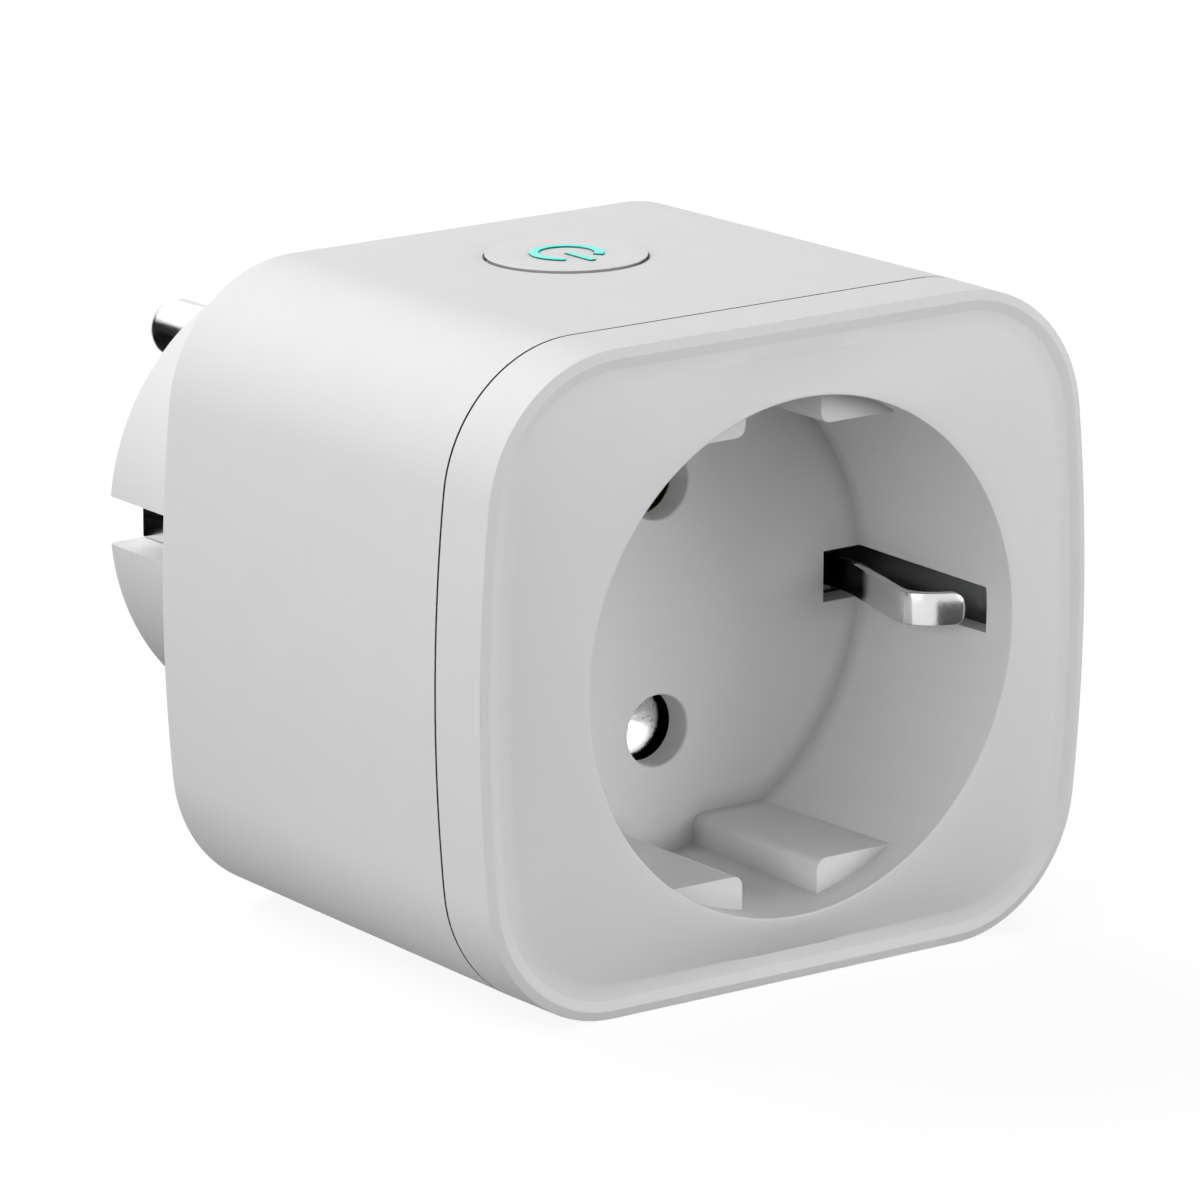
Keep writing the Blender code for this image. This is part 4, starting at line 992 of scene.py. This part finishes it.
def make_camera():
    """The photograph's view."""
    back = direction(CAMERA_AZIMUTH, CAMERA_ELEVATION)
    data = bpy.data.cameras.new("camera")
    data.lens = CAMERA_LENS
    data.sensor_width = CAMERA_SENSOR
    data.clip_start = CAMERA_NEAR
    camera = bpy.data.objects.new("camera", data)
    roll = Matrix.Rotation(math.radians(CAMERA_ROLL), 3, "Z")
    turn = (-back).to_track_quat("-Z", "Y").to_matrix() @ roll
    camera.matrix_world = Matrix.Translation(CAMERA_TARGET + back * CAMERA_DISTANCE) @ turn.to_4x4()
    bpy.context.scene.collection.objects.link(camera)
    bpy.context.scene.camera = camera


def seen_directly(tree):
    """1 for rays from the camera, a reflection or through glass, which see a white studio."""
    path = node(tree, "LightPath").outputs
    seen = path["Is Camera Ray"]
    for kind in ("Is Glossy Ray", "Is Transmission Ray"):
        seen = node(tree, "Math", {0: seen, 1: path[kind]}, operation="MAXIMUM").outputs[0]
    return seen


def make_floor():
    """A wide floor: white with the plug's soft shadow where it is seen, and dark to bounced light."""

    def sheet(bm):
        corners = ((-1, -1), (1, -1), (1, 1), (-1, 1))
        bm.faces.new([bm.verts.new((u * FLOOR_REACH, v * FLOOR_REACH, shell_low.z)) for u, v in corners])

    floor = solid("floor", sheet)
    made, tree, _ = start_finish("studio floor paint")
    plain = node(tree, "BsdfDiffuse", {"Color": linear("#464646")})
    shaded = node(tree, "BsdfDiffuse", {"Color": linear("#7a7a7a")})
    glow = node(tree, "Emission", {"Strength": FLOOR_GLOW})
    white = node(tree, "AddShader", {0: shaded.outputs[0], 1: glow.outputs[0]})
    mixed = {0: seen_directly(tree), 1: plain.outputs[0], 2: white.outputs[0]}
    end_finish(tree, node(tree, "MixShader", mixed))
    floor.data.materials.append(made)


def make_flag(name, colour, azimuth, aside, distance, width, height):
    """A dark card that stands up from a foot laid along the floor: only reflections see it."""
    away, across = direction(azimuth), direction(azimuth + 90)
    foot = Vector((0, 0, shell_low.z + FLAG_LIFT)) + across * aside
    rows = [foot + away * FLAG_REACH, foot + away * distance]
    rows.append(rows[-1] + Vector((0, 0, height)))

    def card(bm):
        halves = (-width / 2, width / 2)
        edges = [[bm.verts.new(row + across * half) for half in halves] for row in rows]
        for near, far in zip(edges, edges[1:]):
            bm.faces.new((*near, *reversed(far)))

    flag = solid(name, card)
    made, tree, _ = start_finish(f"{name} card")
    end_finish(tree, node(tree, "BsdfDiffuse", {"Color": linear(colour)}))
    flag.data.materials.append(made)
    flag.visible_camera = False
    flag.visible_diffuse = False
    flag.visible_transmission = False
    flag.visible_shadow = False


def make_world():
    """An even dim studio for the light, and white where it is seen."""
    world = bpy.data.worlds.new("studio")
    world.use_nodes = True
    tree = world.node_tree
    tree.nodes.clear()
    dim = node(tree, "Background", {"Color": linear("#ffffff"), "Strength": STUDIO_LIGHT})
    white = node(tree, "Background", {"Color": linear("#ffffff"), "Strength": 1.0})
    mixed = node(tree, "MixShader", {0: seen_directly(tree), 1: dim.outputs[0], 2: white.outputs[0]})
    node(tree, "OutputWorld", {"Surface": mixed.outputs[0]})
    bpy.context.scene.world = world


def make_lamp(name, azimuth, elevation, width, height, power):
    """A soft box aimed at the case from a direction round it, measured as the camera's is."""
    away = direction(azimuth, elevation)
    data = bpy.data.lights.new(name, "AREA")
    data.shape = "RECTANGLE"
    data.size, data.size_y = width, height
    data.energy = power
    lamp = bpy.data.objects.new(name, data)
    lamp.location = CAMERA_TARGET + away * LAMP_DISTANCE
    lamp.rotation_euler = (-away).to_track_quat("-Z", "Y").to_euler()
    lamp.visible_camera = False
    bpy.context.scene.collection.objects.link(lamp)


bpy.context.scene.view_settings.view_transform = "Standard"
make_camera()
make_floor()
# A black card behind gives the pins a dark side, and a grey one in front gives the right clip a grey end
make_flag("rear_flag", "#101010", -144, aside=0.0, distance=85 * MM, width=100 * MM, height=52 * MM)
make_flag("front_flag", "#686868", -25, aside=90 * MM, distance=170 * MM, width=100 * MM, height=10 * MM)
make_world()
make_lamp("left_lamp", azimuth=-78, elevation=12, width=0.9, height=0.42, power=4.9)
make_lamp("front_lamp", azimuth=30, elevation=6, width=1.2, height=0.2, power=3.0)
make_lamp("right_lamp", azimuth=50, elevation=12, width=0.6, height=0.42, power=2.8)
make_lamp("rear_lamp", azimuth=-170, elevation=42, width=1.2, height=0.6, power=7.6)

# Polycarbonate moulded in a spark-eroded tool: white and satin, and a touch paler on the button
case_white = moulded_polycarbonate("moulded polycarbonate", "#e8e8e8", "#e4e4e4")
button_white = moulded_polycarbonate("moulded polycarbonate, button", "#eaeaea", "#e6e6e6")
# Painted shade on the case's hidden inside faces and the edge in the seam: near black and dull, so that slots
# and the seam look dark
dark_shade_paint = grained("painted shade, near black", "#2c3231", "#373e3c", 0.6 * MM, 0.8, 1.45)
# Paler painted shade on the case's inner walls and the lip's inside: pale grey, so that little dark shows
# past an edge
pale_shade_paint = grained("painted shade, pale grey", "#b0b4b3", "#b8bcbb", 0.6 * MM, 0.8, 1.45)
# Painted shade on the neck under the button's top, which darkens the gap round the button: pale grey and matt
neck_shade = grained("painted shade, button neck", "#b0b0b0", "#b8b8b8", 0.3 * MM, 0.7, 1.43)
# Painted shade on the sides of the raised lit mark: dark teal, which gives it a crisp dark outline
mark_side_shade = grained("painted shade, mark sides", "#123d3d", "#174a4a", 0.3 * MM, 0.5, 1.5)
# Nickel plated on turned brass: bright, with faint lines along the pin
nickel = plated_metal("nickel-plated brass", "#d6d6d5", 0.2, 0.25 * MM, LINES_ALONG_Y)
# Spring steel rolled to strip: smooth and bright, with faint lines along the strip
steel = plated_metal("rolled spring steel", "#e0e0e1", 0.16, 0.2 * MM, LINES_ALONG_Y)
# Painted shade on the clip's root, which lies in the dark of the slot: near black, and fading along the strip
shade_y = FLOOR_Y - CLIP_AXIS - CLIP_SHADE
painted_shade = ("#060606", shade_y + CLIP_SHADE_FADE, shade_y - CLIP_SHADE_FADE)
root_shaded_steel = plated_metal("spring steel, painted shade at the root", "#e0e0e1", 0.16, 0.2 * MM, LINES_ALONG_Y, painted_shade)
# Silver plated on bronze: the whitest of the metals, with a soft gloss
silver = plated_metal("silver-plated bronze", "#f2f2f2", 0.3, 0.25 * MM, LINES_ALONG_Y)
# Zinc plated on turned steel: a soft pale grey, with no lines
zinc = plated_metal("zinc-plated steel", "#b8b9bb", 0.3, 0.2 * MM, NO_LINES)

make_rear_shell(case_white, dark_shade_paint, pale_shade_paint)
make_front_cover(case_white, dark_shade_paint, pale_shade_paint)
make_plug_base(case_white)
make_button(button_white, neck_shade, lit_light_guide(), mark_side_shade)
make_pins(nickel)
make_earth_strips(steel)
make_earth_clips(steel, root_shaded_steel)
make_contact_sleeves(silver)
make_screws(zinc)
finish_inner_nodes(steel)
